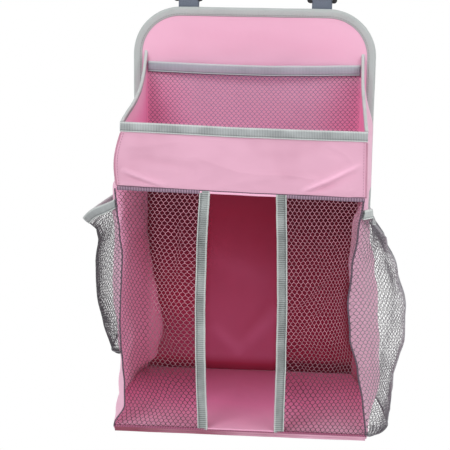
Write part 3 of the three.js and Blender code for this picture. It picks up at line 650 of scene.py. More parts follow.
def start(name, roughness, **values):
    """A material with one surface shader, and that shader's sockets."""
    material = bpy.data.materials.new(name)
    material.use_nodes = True
    sockets = material.node_tree.nodes["Principled BSDF"].inputs
    sockets["Roughness"].default_value = roughness
    for key, value in values.items():
        sockets[key.replace("_", " ")].default_value = value
    return material, sockets


def light_and_dark(colour, *stops):
    """Stops of a ramp in one colour, each with its place and how light it is."""
    return [(place, [part * light for part in list(colour)[:3]] + [1.0]) for place, light in stops]


def oxford_polyester():
    """Plain-woven polyester, dyed pink: matt, with a soft sheen; its colour is painted with shade, darker deep inside
    the caddy, and it has a painted glow.
    """
    colours = bpy.context.scene.caddy_colours
    material, sockets = start(
        "oxford_polyester_pink", 0.62, Sheen_Weight=0.15, Sheen_Roughness=0.4, Specular_IOR_Level=0.25)
    # The depth attribute picks the painted shade: a ramp of lit and shaded copies of the one dyed pink, from the dark
    # edge tone through the lit pink to the shadow behind the nets.
    depth = add(material, "ShaderNodeAttribute", attribute_name="depth")["Fac"]
    place = add(material, "ShaderNodeTexCoord")["Object"]
    patches = add(material, "ShaderNodeTexNoise", {"Vector": place, "Scale": 14.0, "Detail": 2.0})
    uneven = add(material, "ShaderNodeMath", {0: patches["Fac"], 1: 0.5}, operation="SUBTRACT")
    varied = add(material, "ShaderNodeMath", {0: uneven[0], 1: 0.05, 2: depth}, operation="MULTIPLY_ADD")
    shifted = add(material, "ShaderNodeMath", {0: varied[0], 1: 0.8, 2: 0.12}, operation="MULTIPLY_ADD")
    tones = (
        (0.0, "edge"), (0.04, "open"), (0.12, "lit"), (0.304, "glow"), (0.48, "half"), (0.8, "deep"), (1.0, "shadow"),
    )
    stops = [(at, [*getattr(colours, f"pink_{tone}"), 1.0]) for at, tone in tones]
    add(material, "ShaderNodeValToRGB", {"Fac": shifted[0]}, sockets["Base Color"], stops)
    # Painted glow: the cloth emits pink light by its painted_glow attribute, standing in for light that thin cloth
    # lets in from its other face.
    painted_glow = add(material, "ShaderNodeAttribute", attribute_name="painted_glow")
    sockets["Emission Color"].default_value = (1.0, 0.72, 0.94, 1.0)
    material.node_tree.links.new(painted_glow["Fac"], sockets["Emission Strength"])
    # Threads are 0.5 mm apart, and are drawn at 1.2 mm so that they show.
    flat = add(material, "ShaderNodeUVMap", uv_map="flat")[0]
    weft = add(material, "ShaderNodeTexWave", {"Vector": flat, "Scale": WAVE / 0.0012}, bands_direction="X")
    warp = add(material, "ShaderNodeTexWave", {"Vector": flat, "Scale": WAVE / 0.0012}, bands_direction="Y")
    weave = add(material, "ShaderNodeMath", {0: weft["Fac"], 1: warp["Fac"]}, operation="MULTIPLY")
    soft = add(material, "ShaderNodeTexNoise", {"Vector": place, "Scale": 28.0, "Detail": 3.0})
    creases = add(material, "ShaderNodeBump", {"Height": soft["Fac"], "Strength": 0.18, "Distance": 0.004})
    threads = {"Height": weave[0], "Strength": 0.10, "Distance": 0.0003, "Normal": creases[0]}
    add(material, "ShaderNodeBump", threads, sockets["Normal"])
    return material


def brushed_binding():
    """Brushed knitted tape: light grey, matt, with a short nap that scatters light."""
    grey = bpy.context.scene.caddy_colours.binding_grey
    material, sockets = start(
        "brushed_binding_grey", 0.85, Sheen_Weight=0.35, Sheen_Roughness=0.6, Specular_IOR_Level=0.15)
    place = add(material, "ShaderNodeTexCoord")["Object"]
    nap = add(material, "ShaderNodeTexNoise", {"Vector": place, "Scale": 900.0, "Detail": 3.0})["Fac"]
    patches = add(material, "ShaderNodeTexNoise", {"Vector": place, "Scale": 30.0, "Detail": 2.0})
    mixed = add(material, "ShaderNodeMath", {0: nap, 1: patches["Fac"]}, operation="ADD")
    stops = light_and_dark(grey, (0.6, 0.9), (0.963, 1.06))
    add(material, "ShaderNodeValToRGB", {"Fac": mixed[0]}, sockets["Base Color"], stops)
    add(material, "ShaderNodeBump", {"Height": nap, "Strength": 0.25, "Distance": 0.0006}, sockets["Normal"])
    return material


def grosgrain(name, colour, ribs_apart, hollow):
    """Grosgrain ribbon: ribs run across it, each catching light along its crown, hollow being the dark between."""
    material, sockets = start(name, 0.6, Sheen_Weight=0.2, Sheen_Roughness=0.4, Specular_IOR_Level=0.3)
    flat = add(material, "ShaderNodeUVMap", uv_map="flat")[0]
    ribs = add(material, "ShaderNodeTexWave", {"Vector": flat, "Scale": WAVE / ribs_apart}, bands_direction="X")
    place = add(material, "ShaderNodeTexCoord")["Object"]
    wear = add(material, "ShaderNodeTexNoise", {"Vector": place, "Scale": 60.0, "Detail": 3.0})
    values = {0: ribs["Fac"], 1: 0.7, 2: wear["Fac"]}
    mixed = add(material, "ShaderNodeMath", values, operation="MULTIPLY_ADD")
    stops = light_and_dark(colour, (0.3, hollow), (1.0, 1.15))
    woven = add(material, "ShaderNodeValToRGB", {"Fac": mixed[0]}, stops=stops)
    # Patches of painted shade, standing in for the shade where the ribbon twists.
    patches = add(material, "ShaderNodeTexNoise", {"Vector": place, "Scale": 34.0, "Detail": 2.0})
    values = {"Value": patches["Fac"], "From Min": 0.35, "From Max": 0.65}
    painted_shade_patches = add(material, "ShaderNodeMapRange", {**values, "To Min": lerp(hollow, 1, 0.6), "To Max": 1.1})
    values = {0: woven["Color"], "Scale": painted_shade_patches[0]}
    painted_shade_patches = add(material, "ShaderNodeVectorMath", values, operation="SCALE")
    # Above 0 the tone is the dark beside the stitches, and below 0 the light of the ribbon's edges and a painted
    # highlight round its fold.
    tones = add(material, "ShaderNodeAttribute", attribute_name="depth")["Fac"]
    darker = add(material, "ShaderNodeMath", {0: tones, 1: 0.0}, operation="MAXIMUM")
    lighter = add(material, "ShaderNodeMath", {0: tones, 1: -1.0}, operation="MULTIPLY", use_clamp=True)
    values = {"Fac": darker[0], "Color1": painted_shade_patches[0], "Color2": linear("4a504f")}
    sewn = add(material, "ShaderNodeMixRGB", values)
    values = {"Fac": lighter[0], "Color1": sewn[0], "Color2": linear("dfe5e2")}
    add(material, "ShaderNodeMixRGB", values, sockets["Base Color"])
    values = {"Height": ribs["Fac"], "Strength": 0.35, "Distance": 0.0004}
    add(material, "ShaderNodeBump", values, sockets["Normal"])
    return material


def net_thread(name, colour, second):
    """Twisted polyester thread of the netting: a silky grey, with a second tone where it is shaded or lit."""
    material, sockets = start(name, 0.32, Specular_IOR_Level=0.35)
    depth = add(material, "ShaderNodeAttribute", attribute_name="depth")["Fac"]
    stops = ((0.0, [*colour, 1.0]), (1.0, [*second, 1.0]))
    tone = add(material, "ShaderNodeValToRGB", {"Fac": depth}, stops=stops)
    place = add(material, "ShaderNodeTexCoord")["Object"]
    twist = add(material, "ShaderNodeTexNoise", {"Vector": place, "Scale": 1400.0, "Detail": 1.0})["Fac"]
    strength = add(material, "ShaderNodeMath", {0: twist, 1: 1.5, 2: 0.2}, operation="MULTIPLY_ADD")
    values = {0: tone["Color"], "Scale": strength[0]}
    add(material, "ShaderNodeVectorMath", values, sockets["Base Color"], operation="SCALE")
    add(material, "ShaderNodeBump", {"Height": twist, "Strength": 0.3, "Distance": 0.0003}, sockets["Normal"])
    return material


def seam_tape(name, code):
    """Thin overlocked tape: dark, dull, with the ridges of its stitches, 3 mm apart."""
    material, sockets = start(name, 0.75)
    flat = add(material, "ShaderNodeUVMap", uv_map="flat")[0]
    sewn = add(material, "ShaderNodeTexWave", {"Vector": flat, "Scale": WAVE / 0.003}, bands_direction="X")
    stops = light_and_dark(linear(code), (0.0, 0.55), (1.0, 1.25))
    add(material, "ShaderNodeValToRGB", {"Fac": sewn["Fac"]}, sockets["Base Color"], stops)
    values = {"Height": sewn["Fac"], "Strength": 0.4, "Distance": 0.0004}
    add(material, "ShaderNodeBump", values, sockets["Normal"])
    return material


def webbing_weave():
    """Woven polypropylene webbing: slate, in fine slanted ribs 1.6 mm apart, with a low gloss."""
    slate = bpy.context.scene.caddy_colours.webbing_slate
    material, sockets = start("woven_webbing_slate", 0.55)
    flat = add(material, "ShaderNodeUVMap", uv_map="flat")[0]
    turned = add(material, "ShaderNodeMapping", {"Vector": flat, "Rotation": (0, 0, math.radians(28))})
    values = {"Vector": turned[0], "Scale": WAVE / 0.0016}
    ribs = add(material, "ShaderNodeTexWave", values, bands_direction="X")["Fac"]
    yarn = add(material, "ShaderNodeTexNoise", {"Vector": flat, "Scale": 700.0, "Detail": 2.0})
    mixed = add(material, "ShaderNodeMath", {0: ribs, 1: 0.6, 2: yarn["Fac"]}, operation="MULTIPLY_ADD")
    stops = light_and_dark(slate, (0.3, 0.62), (1.0, 1.3))
    add(material, "ShaderNodeValToRGB", {"Fac": mixed[0]}, sockets["Base Color"], stops)
    add(material, "ShaderNodeBump", {"Height": ribs, "Strength": 0.4, "Distance": 0.0004}, sockets["Normal"])
    return material


def acetal():
    """Moulded black acetal: a fine spark-eroded grain and a satin gloss on its edges."""
    material, sockets = start("acetal_black", 0.4, IOR=1.48)
    place = add(material, "ShaderNodeTexCoord")["Object"]
    grain = add(material, "ShaderNodeTexNoise", {"Vector": place, "Scale": 2200.0, "Detail": 2.0})["Fac"]
    stops = ((0.3, linear("101114")), (0.8, linear("24262a")))
    add(material, "ShaderNodeValToRGB", {"Fac": grain}, sockets["Base Color"], stops)
    add(material, "ShaderNodeBump", {"Height": grain, "Strength": 0.12, "Distance": 0.0003}, sockets["Normal"])
    return material


def grey_board():
    """Plain pressed board: pale, dull, with flecks of fibre."""
    material, sockets = start("pressed_board_grey", 0.85)
    place = add(material, "ShaderNodeTexCoord")["Object"]
    fleck = add(material, "ShaderNodeTexNoise", {"Vector": place, "Scale": 300.0, "Detail": 4.0})
    stops = ((0.3, linear("b9b2a2")), (0.8, linear("d8d2c4")))
    add(material, "ShaderNodeValToRGB", {"Fac": fleck["Fac"]}, sockets["Base Color"], stops)
    return material


# The record's material slot that each finish belongs to
SLOTS = {
    "cloth": "pink_cloth", "pink thread": "pink_cloth", "binding": "grey_felt_binding",
    "ribbon": "grey_ribbon_binding", "fine ribbon": "grey_ribbon_binding", "band": "grey_ribbon_binding",
    "thread": "grey_ribbon_binding", "net": "grey_netting", "inner net": "grey_netting",
    "left pocket net": "grey_netting", "right pocket net": "grey_netting", "pocket hem": "dark_seam_tape",
    "tape": "dark_seam_tape", "hem": "dark_seam_tape", "lower hem": "dark_seam_tape",
    "webbing": "slate_webbing", "plastic": "black_plastic", "board": "stiffening_board",
}
TAPES = {
    "pocket hem": ("pocket_hem_tape_grey", "77757a"), "tape": ("overlock_tape_dark", "5d4c5b"),
    "hem": ("net_hem_mauve", "8f7589"), "lower hem": ("net_hem_plum", "9c5573"),
    "pink thread": ("sewing_thread_pink", "cf8fae"), "thread": ("sewing_thread_grey", "b9bcbf"),
}
PLAIN = {
    "cloth": oxford_polyester, "binding": brushed_binding, "webbing": webbing_weave, "plastic": acetal,
    "board": grey_board,
}
MATERIALS = {}


def new_finish(look):
    colours, sizes = bpy.context.scene.caddy_colours, bpy.context.scene.caddy_sizes
    if look in PLAIN:
        return PLAIN[look]()
    if look in TAPES:
        return seam_tape(*TAPES[look])
    ribbons = {
        "ribbon": ("grosgrain_grey", colours.ribbon_grey, sizes.rib_pitch, 0.36),
        "fine ribbon": ("fine_grosgrain_grey", colours.rim_grey, sizes.fine_rib_pitch, 0.55),
        "band": ("smooth_ribbon_cool_grey", colours.band_grey, sizes.fine_rib_pitch, 0.94),
    }
    threads = {
        "net": ("netting_thread_grey", colours.net_lit, colours.net_dark),
        "inner net": ("netting_thread_plum", colours.inner_net, colours.inner_net_dark),
        "left pocket net": ("netting_thread_charcoal", colours.net_charcoal, colours.net_charcoal),
        "right pocket net": ("netting_thread_steel", colours.net_steel, colours.net_steel_lit),
    }
    return grosgrain(*ribbons[look]) if look in ribbons else net_thread(*threads[look])


def finish(look):
    """The material of that look, made when it is first asked for."""
    if look not in MATERIALS:
        MATERIALS[look] = new_finish(look)
    return MATERIALS[look]


# Settings that a user would change
def length_setting(name, description, default):
    return bpy.props.FloatProperty(name=name, description=description, default=default, unit="LENGTH")


def colour_setting(name, description, code):
    return bpy.props.FloatVectorProperty(
        name=name, description=description, subtype="COLOR", default=linear(code)[:3])


class CaddySizes(bpy.types.PropertyGroup):
    mesh_across: length_setting("Mesh width", "Width of one gap of the netting", 0.0055)
    mesh_rise: length_setting("Mesh rise", "Height from one row of gaps to the next", 0.0040)
    mesh_shoulder: length_setting("Mesh shoulder", "Half the upright side of a gap", 0.0008)
    thread_width: length_setting("Thread width", "Width of the netting's thread", 0.00062)
    thread_depth: length_setting("Thread depth", "Thickness of the netting's thread", 0.0006)
    rib_pitch: length_setting("Rib pitch", "Distance between the ribs of the ribbon", 0.0025)
    fine_rib_pitch: length_setting("Fine rib pitch", "Distance between the ribs of the tray's ribbon", 0.0018)
    wrinkle: length_setting("Wrinkle depth", "Depth of the folds in the cloth", 0.0016)


class CaddyColours(bpy.types.PropertyGroup):
    # The seven pinks are lit and shaded copies of the one dyed pink, for painted light and painted shade; the edge
    # tone is darkened partly as painted shade.
    pink_edge: colour_setting("Pink, edge", "Turned edges of the base", "8b475a")
    pink_open: colour_setting("Pink, open", "Cloth that faces the room", "d9a6bd")
    pink_lit: colour_setting("Pink, lit", "Cloth above the tray", "f0bad3")
    pink_glow: colour_setting("Pink, glowing", "Cloth just inside, lit by the pink around it", "f897c6")
    pink_half: colour_setting("Pink, half lit", "Cloth a little way inside", "dc7ba4")
    pink_deep: colour_setting("Pink, deep", "Cloth deep inside the compartment", "a8304f")
    pink_shadow: colour_setting("Pink, shadow", "Cloth behind the nets", "5e0d26")
    binding_grey: colour_setting("Binding", "Brushed binding round the panel", "b1b7b6")
    ribbon_grey: colour_setting("Ribbon", "Grosgrain ribbon", "959b9a")
    rim_grey: colour_setting("Rim ribbon", "Finer ribbon round the tray's rim", "a6abac")
    band_grey: colour_setting("Band", "Smooth band of the tray's net pocket", "a0abb2")
    # The nets' thread tones are painted light and painted shade: the front nets' thread is painted light and pink
    # where it crosses the dark and painted dark low down and at the sides, the inner pocket's painted darker at its
    # ends, and the right pocket's painted lighter along its fold.
    net_lit: colour_setting("Net", "Thread of the netting", "c9909f")
    net_dark: colour_setting("Net, shaded", "The same thread low down and at the sides", "120a10")
    inner_net: colour_setting("Inner net", "Thread of the tray's net pocket", "7c6c98")
    inner_net_dark: colour_setting("Inner net, shaded", "The same thread at the pocket's ends", "5a2344")
    net_charcoal: colour_setting("Left pocket's net", "Thread of the left side pocket", "4e4e52")
    net_steel: colour_setting("Right pocket's net", "Thread of the right side pocket", "6d6c72")
    net_steel_lit: colour_setting("Right pocket's net, lit", "The same thread along the pocket's fold", "aeadb2")
    webbing_slate: colour_setting("Webbing", "Hanging straps", "646c7b")


# Back panel
def panel_painted_shade(x, z):
    """The painted shade of a place on the panel's front, by how deep inside the caddy it is."""
    # In the tray: painted shade a touch lighter below its top and darker towards the sides.
    if z > -TRAY_UNDER:
        return -0.02 * smooth((-z - 60) / 40) + 0.14 * smooth((abs(x) - 60) / 70) * smooth((-z - 70) / 30)
    # In the lower compartment: painted shade, lighter lower down, with a painted highlight along the wall's folds.
    wall = lerp(0.9, 0.64, smooth(down(z))) - 0.065 * ridges(x, z, WALL_FOLDS)
    # Painted shadow behind the nets on either side of the slot, and painted shade just above the floor.
    beside = lerp(0.22, 0.10 if x < 0 else 0.30, smooth(down(z) * 2 - 0.8))
    return wall + 0.32 * smooth((down(z) - 0.92) * 12) + beside * smooth((abs(x + 11) - 40) / 18)


def make_panel():
    wrinkle = bpy.context.scene.caddy_sizes.wrinkle / MM

    def place(s, v):
        z = lerp(-PANEL_HEIGHT + 1, -1, v)
        return (2 * s - 1) * (panel_half(z) - 1), z

    def front(s, v):
        x, z = place(s, v)
        wave = ripple(x, z, 70, 1) + 0.5 * ripple(x, z * 2, 34, 2)
        fold = wrinkle * 0.7 * (0.6 + wave) + 1.6 * ridges(x, z, WALL_FOLDS)
        return x, CLOTH / 2 - held(s, v, 12, 14) * fold, z

    def rear(s, v):
        x, z = place(1 - s, v)
        return x, PANEL_THICK - CLOTH / 2 + held(s, v, 12, 14) * wrinkle * 0.25 * (0.6 + ripple(x, z, 80, 3)), z

    def shade(s, v, outer):
        return panel_painted_shade((s - 0.5) * PANEL_WIDTH, lerp(-PANEL_HEIGHT + 1, -1, v))

    size = (PANEL_WIDTH, PANEL_HEIGHT)
    # The front cloth takes the panel's painted shade, and the rear none.
    for name, columns, rows, face, depth in (("front", 70, 120, front, shade), ("rear", 50, 80, rear, None)):
        made = sheet(f"panel_{name}_cloth", columns, rows, face, CLOTH, size, "cloth", depth)
        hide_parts(f"back_panel_{name}_cloth")


def outline_points(grow, step=4.0):
    """Points and outward directions round the panel, grown by so much, about a step apart."""
    half = PANEL_WIDTH / 2 + grow
    top, bottom = PANEL_TOP_RADIUS + grow, PANEL_BOTTOM_RADIUS + grow
    low, high = -PANEL_HEIGHT - grow, grow
    corners = (
        (half - top, high - top, top, 0), (-half + top, high - top, top, 90),
        (-half + bottom, low + bottom, bottom, 180), (half - bottom, low + bottom, bottom, 270),
    )
    found = []
    for k, (x, z, radius, begin) in enumerate(corners):
        count = max(6, round(radius * math.pi / 2 / step))
        for i in range(count + 1):
            turn = math.radians(begin + 90 * i / count)
            out = (math.cos(turn), math.sin(turn))
            found.append(((x + radius * out[0], z + radius * out[1]), out))
        next_x, next_z, next_radius, begin = corners[(k + 1) % 4]
        turn = math.radians(begin)
        target = Vector((next_x + next_radius * math.cos(turn), next_z + next_radius * math.sin(turn)))
        here = Vector(found[-1][0])
        count = max(1, round((target - here).length / step))
        found += [(tuple(here.lerp(target, i / count)), out) for i in range(1, count)]
    return found


def make_panel_binding():
    middle = PANEL_THICK / 2
    inside = middle + FIT
    outside = inside + TRIM
    reach = BAND - 1
    leg = [(inside + 0.35, -reach), (outside - 0.2, -reach + 1.2), (outside + 0.25, -reach * 0.55)]
    section = [(-a, b) for a, b in leg] + turned_over(outside, 0.7, 5) + leg[::-1]
    section += [(inside, -reach), (inside, -TRIM - 0.5), (-inside, -TRIM - 0.5), (-inside, -reach)]
    frames = []
    for (x, z), (ox, oz) in outline_points(TRIM + FIT):
        uneven = 0.25 * ripple(x, z, 30, 5)
        frames.append(((x + ox * uneven, middle, z + oz * uneven), BACK, (ox, 0, oz)))
    made = sweep("panel_binding", section, frames, "binding", closed=True)
    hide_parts("back_panel_binding")
    for name, lift in (("front", -1), ("rear", 1)):
        y = middle + lift * (outside + 0.15)
        path = [(x, y, z) for (x, z), _ in outline_points(TRIM + FIT - reach + 2.4)]
        stitches(f"panel_{name}_stitches", path + path[:1], (0, lift, 0), "thread", "grey_felt_binding")


# Sides
def side_shaded(t, z):
    """The share of the left side's inner face, high and to the rear, that the light from the front misses."""
    return smooth(((1 - t) - 1.5 * down(z) + 0.1) * 2.2)


def side_painted_shade(side, t, z):
    """The painted shade on the inner face of a side, by how deep inside the caddy it is."""
    if z > -TRAY_DROP:
        return 0.23 * smooth((rim_z(t) - z) / 60)
    if side == "left":
        rear = smooth((0.5 - t) * 2.6) * lerp(0.3, 1, smooth(down(z) * 2))
        return lerp(0.09, 0.30, smooth(down(z) * 1.6)) + 0.15 * side_shaded(t, z) + 0.30 * rear
    return lerp(0.68, 0.14, smooth(t * 1.05)) + 0.06 * smooth((down(z) - 0.75) * 4)


def side_fold(side, t, z):
    """The soft folds of a side's cloth."""
    low = smooth(down(z) * 6)
    edge = smooth(min(t, 1 - t) * 8)
    wave = 1.5 * ripple(t * 200, z, 62, 11 + SIGN[side]) + 0.6 * ripple(t * 200, z * 1.4, 28, 14 + SIGN[side])
    return edge * lerp(0.5, 1.7, low) * wave


def make_sides():
    for side in ("left", "right"):
        def place(s, v):
            t = s ** SIDE_EASE
            return t, lerp(-BASE_UNDER + 0.5, rim_z(t), v)

        def face(s, v, side=side):
            t, z = place(s, v)
            y = lerp(-FIT, -(depth_at(z) - CLOTH / 2), t)
            x = half_at(side, t, z) - CLOTH / 2 + side_fold(side, t, z)
            return SIGN[side] * x, y, z

        def looks_in(outer, side=side):
            """Whether this face of the sheet looks into the caddy."""
            return outer == (side == "right")

        # Painted shade on the face that looks into the caddy; near the right side's front seam, low down, it takes
        # the dark edge tone.
        def shade(s, v, outer, side=side, looks_in=looks_in):
            if not looks_in(outer):
                return 0.0
            t, z = place(s, v)
            tucked = smooth((t - 0.78) * 8) * smooth(down(z) * 20) if side == "right" else 0
            return lerp(side_painted_shade(side, t, z), -0.12, tucked)

        # Painted glow on the face that looks into the caddy, strongest towards the front of the left side and fading
        # low down.
        def glow(s, v, outer, side=side, looks_in=looks_in):
            if not looks_in(outer):
                return 0.0
            t, z = place(s, v)
            lower = 1 if z < -TRAY_DROP else 0.25
            amount = 0.46 * (1 - 0.75 * side_shaded(t, z)) if side == "left" else 0.08
            return lower * lerp(0.05, amount, smooth(t * 2)) * (1 - 0.72 * smooth(down(z) * 1.7))

        made = sheet(f"{side}_side_cloth", 60, 110, face, CLOTH, (220, 400), "cloth", shade, glow)
        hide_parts(f"{side}_side")


# Tray
def tray_fold(x, z):
    """The soft folds and the slanting creases of the tray's front."""
    wave = 3.4 * ripple(x, z * 1.6, 58, 21) + 1.5 * ripple(x, z * 2, 26, 22)
    turned = 1 - 2.2 * abs(ripple(x * 0.94 + z * 0.9, z * 1.5 - x * 0.2, 74, 27))
    return below_band(z) ** 0.3 * (wave + ridges(x, z, TRAY_FOLDS) + 1.5 * max(0, turned) ** 4)


def make_tray_front():
    def face(s, v):
        z = lerp(-TRAY_UNDER + TRAY_EDGE - TRAY_SAG * hump(s), -FRONT_RIM_DROP, v)
        x = lerp(-front_half("left", z), front_half("right", z), s)
        free = smooth(min(s, 1 - s) * 14) * smooth((1 - v) * 8) * lerp(0.25, 1, smooth(v * 8))
        swell = TRAY_SWELL * hump(s) * hump(below_band(z))
        return x, -depth_at(z) - swell + CLOTH / 2 - free * tray_fold(x, z), z

    # Painted shade: the outer face a little darker than the lit pink, with painted highlights along its creases, and
    # the inner face shaded.
    def shade(s, v, outer):
        x, _, z = face(s, v)
        return -0.1 + ridges(x, z, TRAY_CREASE_HIGHLIGHTS) if outer else 0.25

    made = sheet("tray_front_cloth", 150, 60, face, CLOTH, (285, 80), "cloth", shade)
    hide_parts("tray_front")
    # The floor's cloth is turned up at its front, below a dark seam, dark partly as a painted shadow under the tray's
    # front, and each front corner has a corded seam.
    section = [
        (0, -TRAY_EDGE), (0.7, -TRAY_EDGE + 0.2), (1.1, -2.2), (1.1, -1.2), (0.5, -0.2), (0, 0), (-1, 0),
        (-1, -TRAY_EDGE),
    ]
    edge = -TRAY_UNDER + TRAY_EDGE
    frames, seam = [], []
    for share in shares(120):
        x = lerp(-front_half("left", edge) + 1, front_half("right", edge) - 1, share)
        z = edge - TRAY_SAG * hump(share) + 0.3 * ripple(x, 0, 30, 25)
        y = -depth_at(edge) - TRAY_SWELL * hump(share) * hump(below_band(edge))
        frames.append(((x, y + 0.4, z), AHEAD, UP))
        seam.append(((x, y - 0.2, z + 0.2), AHEAD, UP))
    sweep("tray_floor_turned_edge", section, frames, "cloth", shade=lambda f, k: 0.04)
    sweep("tray_front_lower_seam", ring(TRAY_CORD, 8), seam, "tape")
    for side in ("left", "right"):
        frames, path = [], []
        for share in shares(40):
            z = lerp(edge, -FRONT_RIM_DROP - BAND, share)
            x = SIGN[side] * (front_half(side, z) - 0.2)
            frames.append(((x, -depth_at(z) + 0.2, z), RIGHT, BACK))
            path.append((x - SIGN[side] * 3.2, -depth_at(z) - 0.3, z))
        sweep(f"tray_{side}_corner_cord", ring(CORNER_CORD, 10), frames, "cloth", shade=lambda f, k: -0.12)
        stitches(f"tray_{side}_corner_stitches", path, AHEAD, "pink thread", thick=0.35)


def ribbed(name, frames, inside, height, look, node, lit_to=0.0):
    """A ribbon folded over an edge, with the ribs of its weave, and lit along its first share."""
    section = fold_section(inside, height)

    def tone(share, k):
        return section[k][2] - (0.4 * smooth((lit_to - share) / lit_to * 3) if 0 < share < lit_to else 0)

    made = sweep(name, [(a, b) for a, b, _ in section], frames, look, shade=tone, rib=RIB_RELIEF)
    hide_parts(node)


def make_tray_bindings():
    lean = depth_at(-FRONT_RIM_DROP - BAND) - depth_at(-FRONT_RIM_DROP)
    up = Vector((0, lean, BAND)).normalized()
    across = Vector((0, up.z, -up.y))
    rib = bpy.context.scene.caddy_sizes.fine_rib_pitch / MM / 2
    rise = FIT + TRIM
    left, right = -front_half("left", -FRONT_RIM_DROP), front_half("right", -FRONT_RIM_DROP)
    frames = []
    for share in shares(round((right - left) / rib)):
        x = lerp(left - 0.6, right + 0.6, share)
        dip = RIM_SAG * hump(share) + 0.3 * ripple(x, 0, 40, 31)
        middle = Vector((x, -RIM_DEPTH + CLOTH / 2 - RIM_BOW * hump(share), -FRONT_RIM_DROP - dip)) + up * rise
        frames.append((middle, across, up))
    ribbed("tray_front_ribbon", frames, CLOTH / 2 + FIT, BAND, "fine ribbon", "tray_front_binding")
    for side in ("left", "right"):
        def rim(t, side=side):
            z = rim_z(t)
            x = half_at(side, t, z) - CLOTH / 2 + side_fold(side, t, z)
            return Vector((SIGN[side] * x, lerp(-FIT, -(depth_at(z) - CLOTH - FIT), t), z))

        frames = []
        for share in shares(150):
            t = 0.978 * share ** SIDE_EASE
            p, q = rim(max(0, t - 0.004)), rim(min(1, t + 0.004))
            lean = clamp(t * RIM_DEPTH / BAND) * math.atan2(p.z - q.z, p.y - q.y)
            up = Vector((0, -math.sin(lean), math.cos(lean)))
            frames.append((rim(t) + up * (FIT + TRIM), RIGHT, up))
        ribbed(f"tray_{side}_ribbon", frames, CLOTH / 2 + FIT, BAND / 2, "fine ribbon", f"tray_{side}_binding")


def floor_face(drop, lift, depth, droop, seed):
    """The surface of a level cloth between the sides, lifted from a drop below the panel's top."""
    def face(s, v):
        left = -(half_at("left", v, -drop) - CLOTH - FIT)
        right = half_at("right", v, -drop) - CLOTH - FIT
        x, y = lerp(left, right, s), lerp(-FIT, -depth, v)
        wave = ripple(x, y, 60, seed) + 0.5 * ripple(x, y, 27, seed + 1)
        return x, y, -drop + lift + held(s, v, 8, 8) * (droop + 0.35 * wave)
    return face


def make_floors():
    tray_depth = depth_at(-TRAY_DROP) - CLOTH - FIT

    # Painted shade of the floors: the tray's floor evenly, its underside darker to the rear, and the base's top
    # darker to the rear and lighter towards the sides, where it also has a painted glow towards the front.
    def beside(s):
        return smooth(abs(s - 0.5) * 5 - 1)

    def tray_shade(s, v, outer):
        return 0.25

    def under_shade(s, v, outer):
        return lerp(0.9, 0.35, v)

    def base_shade(s, v, outer):
        return lerp(0.50, 0.05, v) - (0.04 if s < 0.5 else 0.06) * beside(s)

    def base_painted_glow(s, v, outer):
        return (0.05 if s < 0.5 else 0.08) * smooth(v) * beside(s)

    top, under = -CLOTH / 2, CLOTH / 2
    tray, base = ((275, 208), TRAY_FLAT, "tray_floor_board"), ((300, 201), BASE_FLAT, "base_board")
    for name, node, columns, rows, face, (size, flat, board), shade, glow in (
        ("tray_floor_cloth", "tray_floor_top_cloth", 60, 44, floor_face(TRAY_DROP, top, tray_depth, 0.3, 41),
         tray, tray_shade, None),
        ("tray_under_cloth", "tray_floor_bottom_cloth", 60, 44, floor_face(TRAY_UNDER, under, tray_depth, -0.3, 43),
         tray, under_shade, None),
        ("base_top_sheet", "base_top_cloth", 70, 60, floor_face(BASE_DROP, top, BASE_DEPTH, 0.4, 45),
         base, base_shade, base_painted_glow),
        ("base_under_sheet", "base_bottom_cloth", 60, 44, floor_face(BASE_UNDER, under, BASE_DEPTH, -0.3, 47),
         base, None, None),
    ):
        made = sheet(name, columns, rows, face, CLOTH, size, "cloth", shade, glow)
        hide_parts(node)


def make_base_edge():
    """The base's front edge: the two cloths turned in over the board, one a little proud of the other."""
    left, right = -front_half("left", -BASE_DROP) + CLOTH, front_half("right", -BASE_DROP) - CLOTH
    places = [lerp(left, right, share) for share in shares(90)]
    for name, low, high, proud in (("upper", 1.0, 4.4, 0.9), ("lower", -1.6, 0.8, 0.5)):
        section = [
            (-0.2, low), (proud * 0.6 - 0.2, low - 0.1), (proud, low + 0.6), (proud, high - 0.7),
            (proud * 0.6, high), (-0.2, high),
        ]
        frames = []
        for x in places:
            wave = 0.35 * ripple(x, low * 9, 34, 51)
            frames.append(((x, -BASE_DEPTH - 0.1 + wave * 0.4, -BASE_UNDER + wave), AHEAD, UP))
        # Painted shade: the folds take the dark edge tone, darker on the left than on the right.
        sweep(f"base_front_{name}_fold", section, frames, "cloth", shade=lambda f, k: lerp(-0.15, -0.105, f))
    seam = [((x, -BASE_DEPTH - 0.9, -BASE_DROP - 1.4), AHEAD, UP) for x in places]
    sweep("base_front_seam", ring(BASE_CORD, 8), seam, "lower hem")


# Front nets
def drawn_in(x, y, crease):
    """Where a point of a net goes beside a crease, which draws the threads in towards its line."""
    (x0, y0), (x1, y1), reach, pull = crease
    long = math.hypot(x1 - x0, y1 - y0)
    ux, uy = (x1 - x0) / long, (y1 - y0) / long
    away = (y - y0) * ux - (x - x0) * uy
    share = ((x - x0) * ux + (y - y0) * uy) / long
    moved = -pull * away * math.exp(-((away / reach) ** 2)) * hump(share) ** 0.5
    return x - uy * moved, y + ux * moved


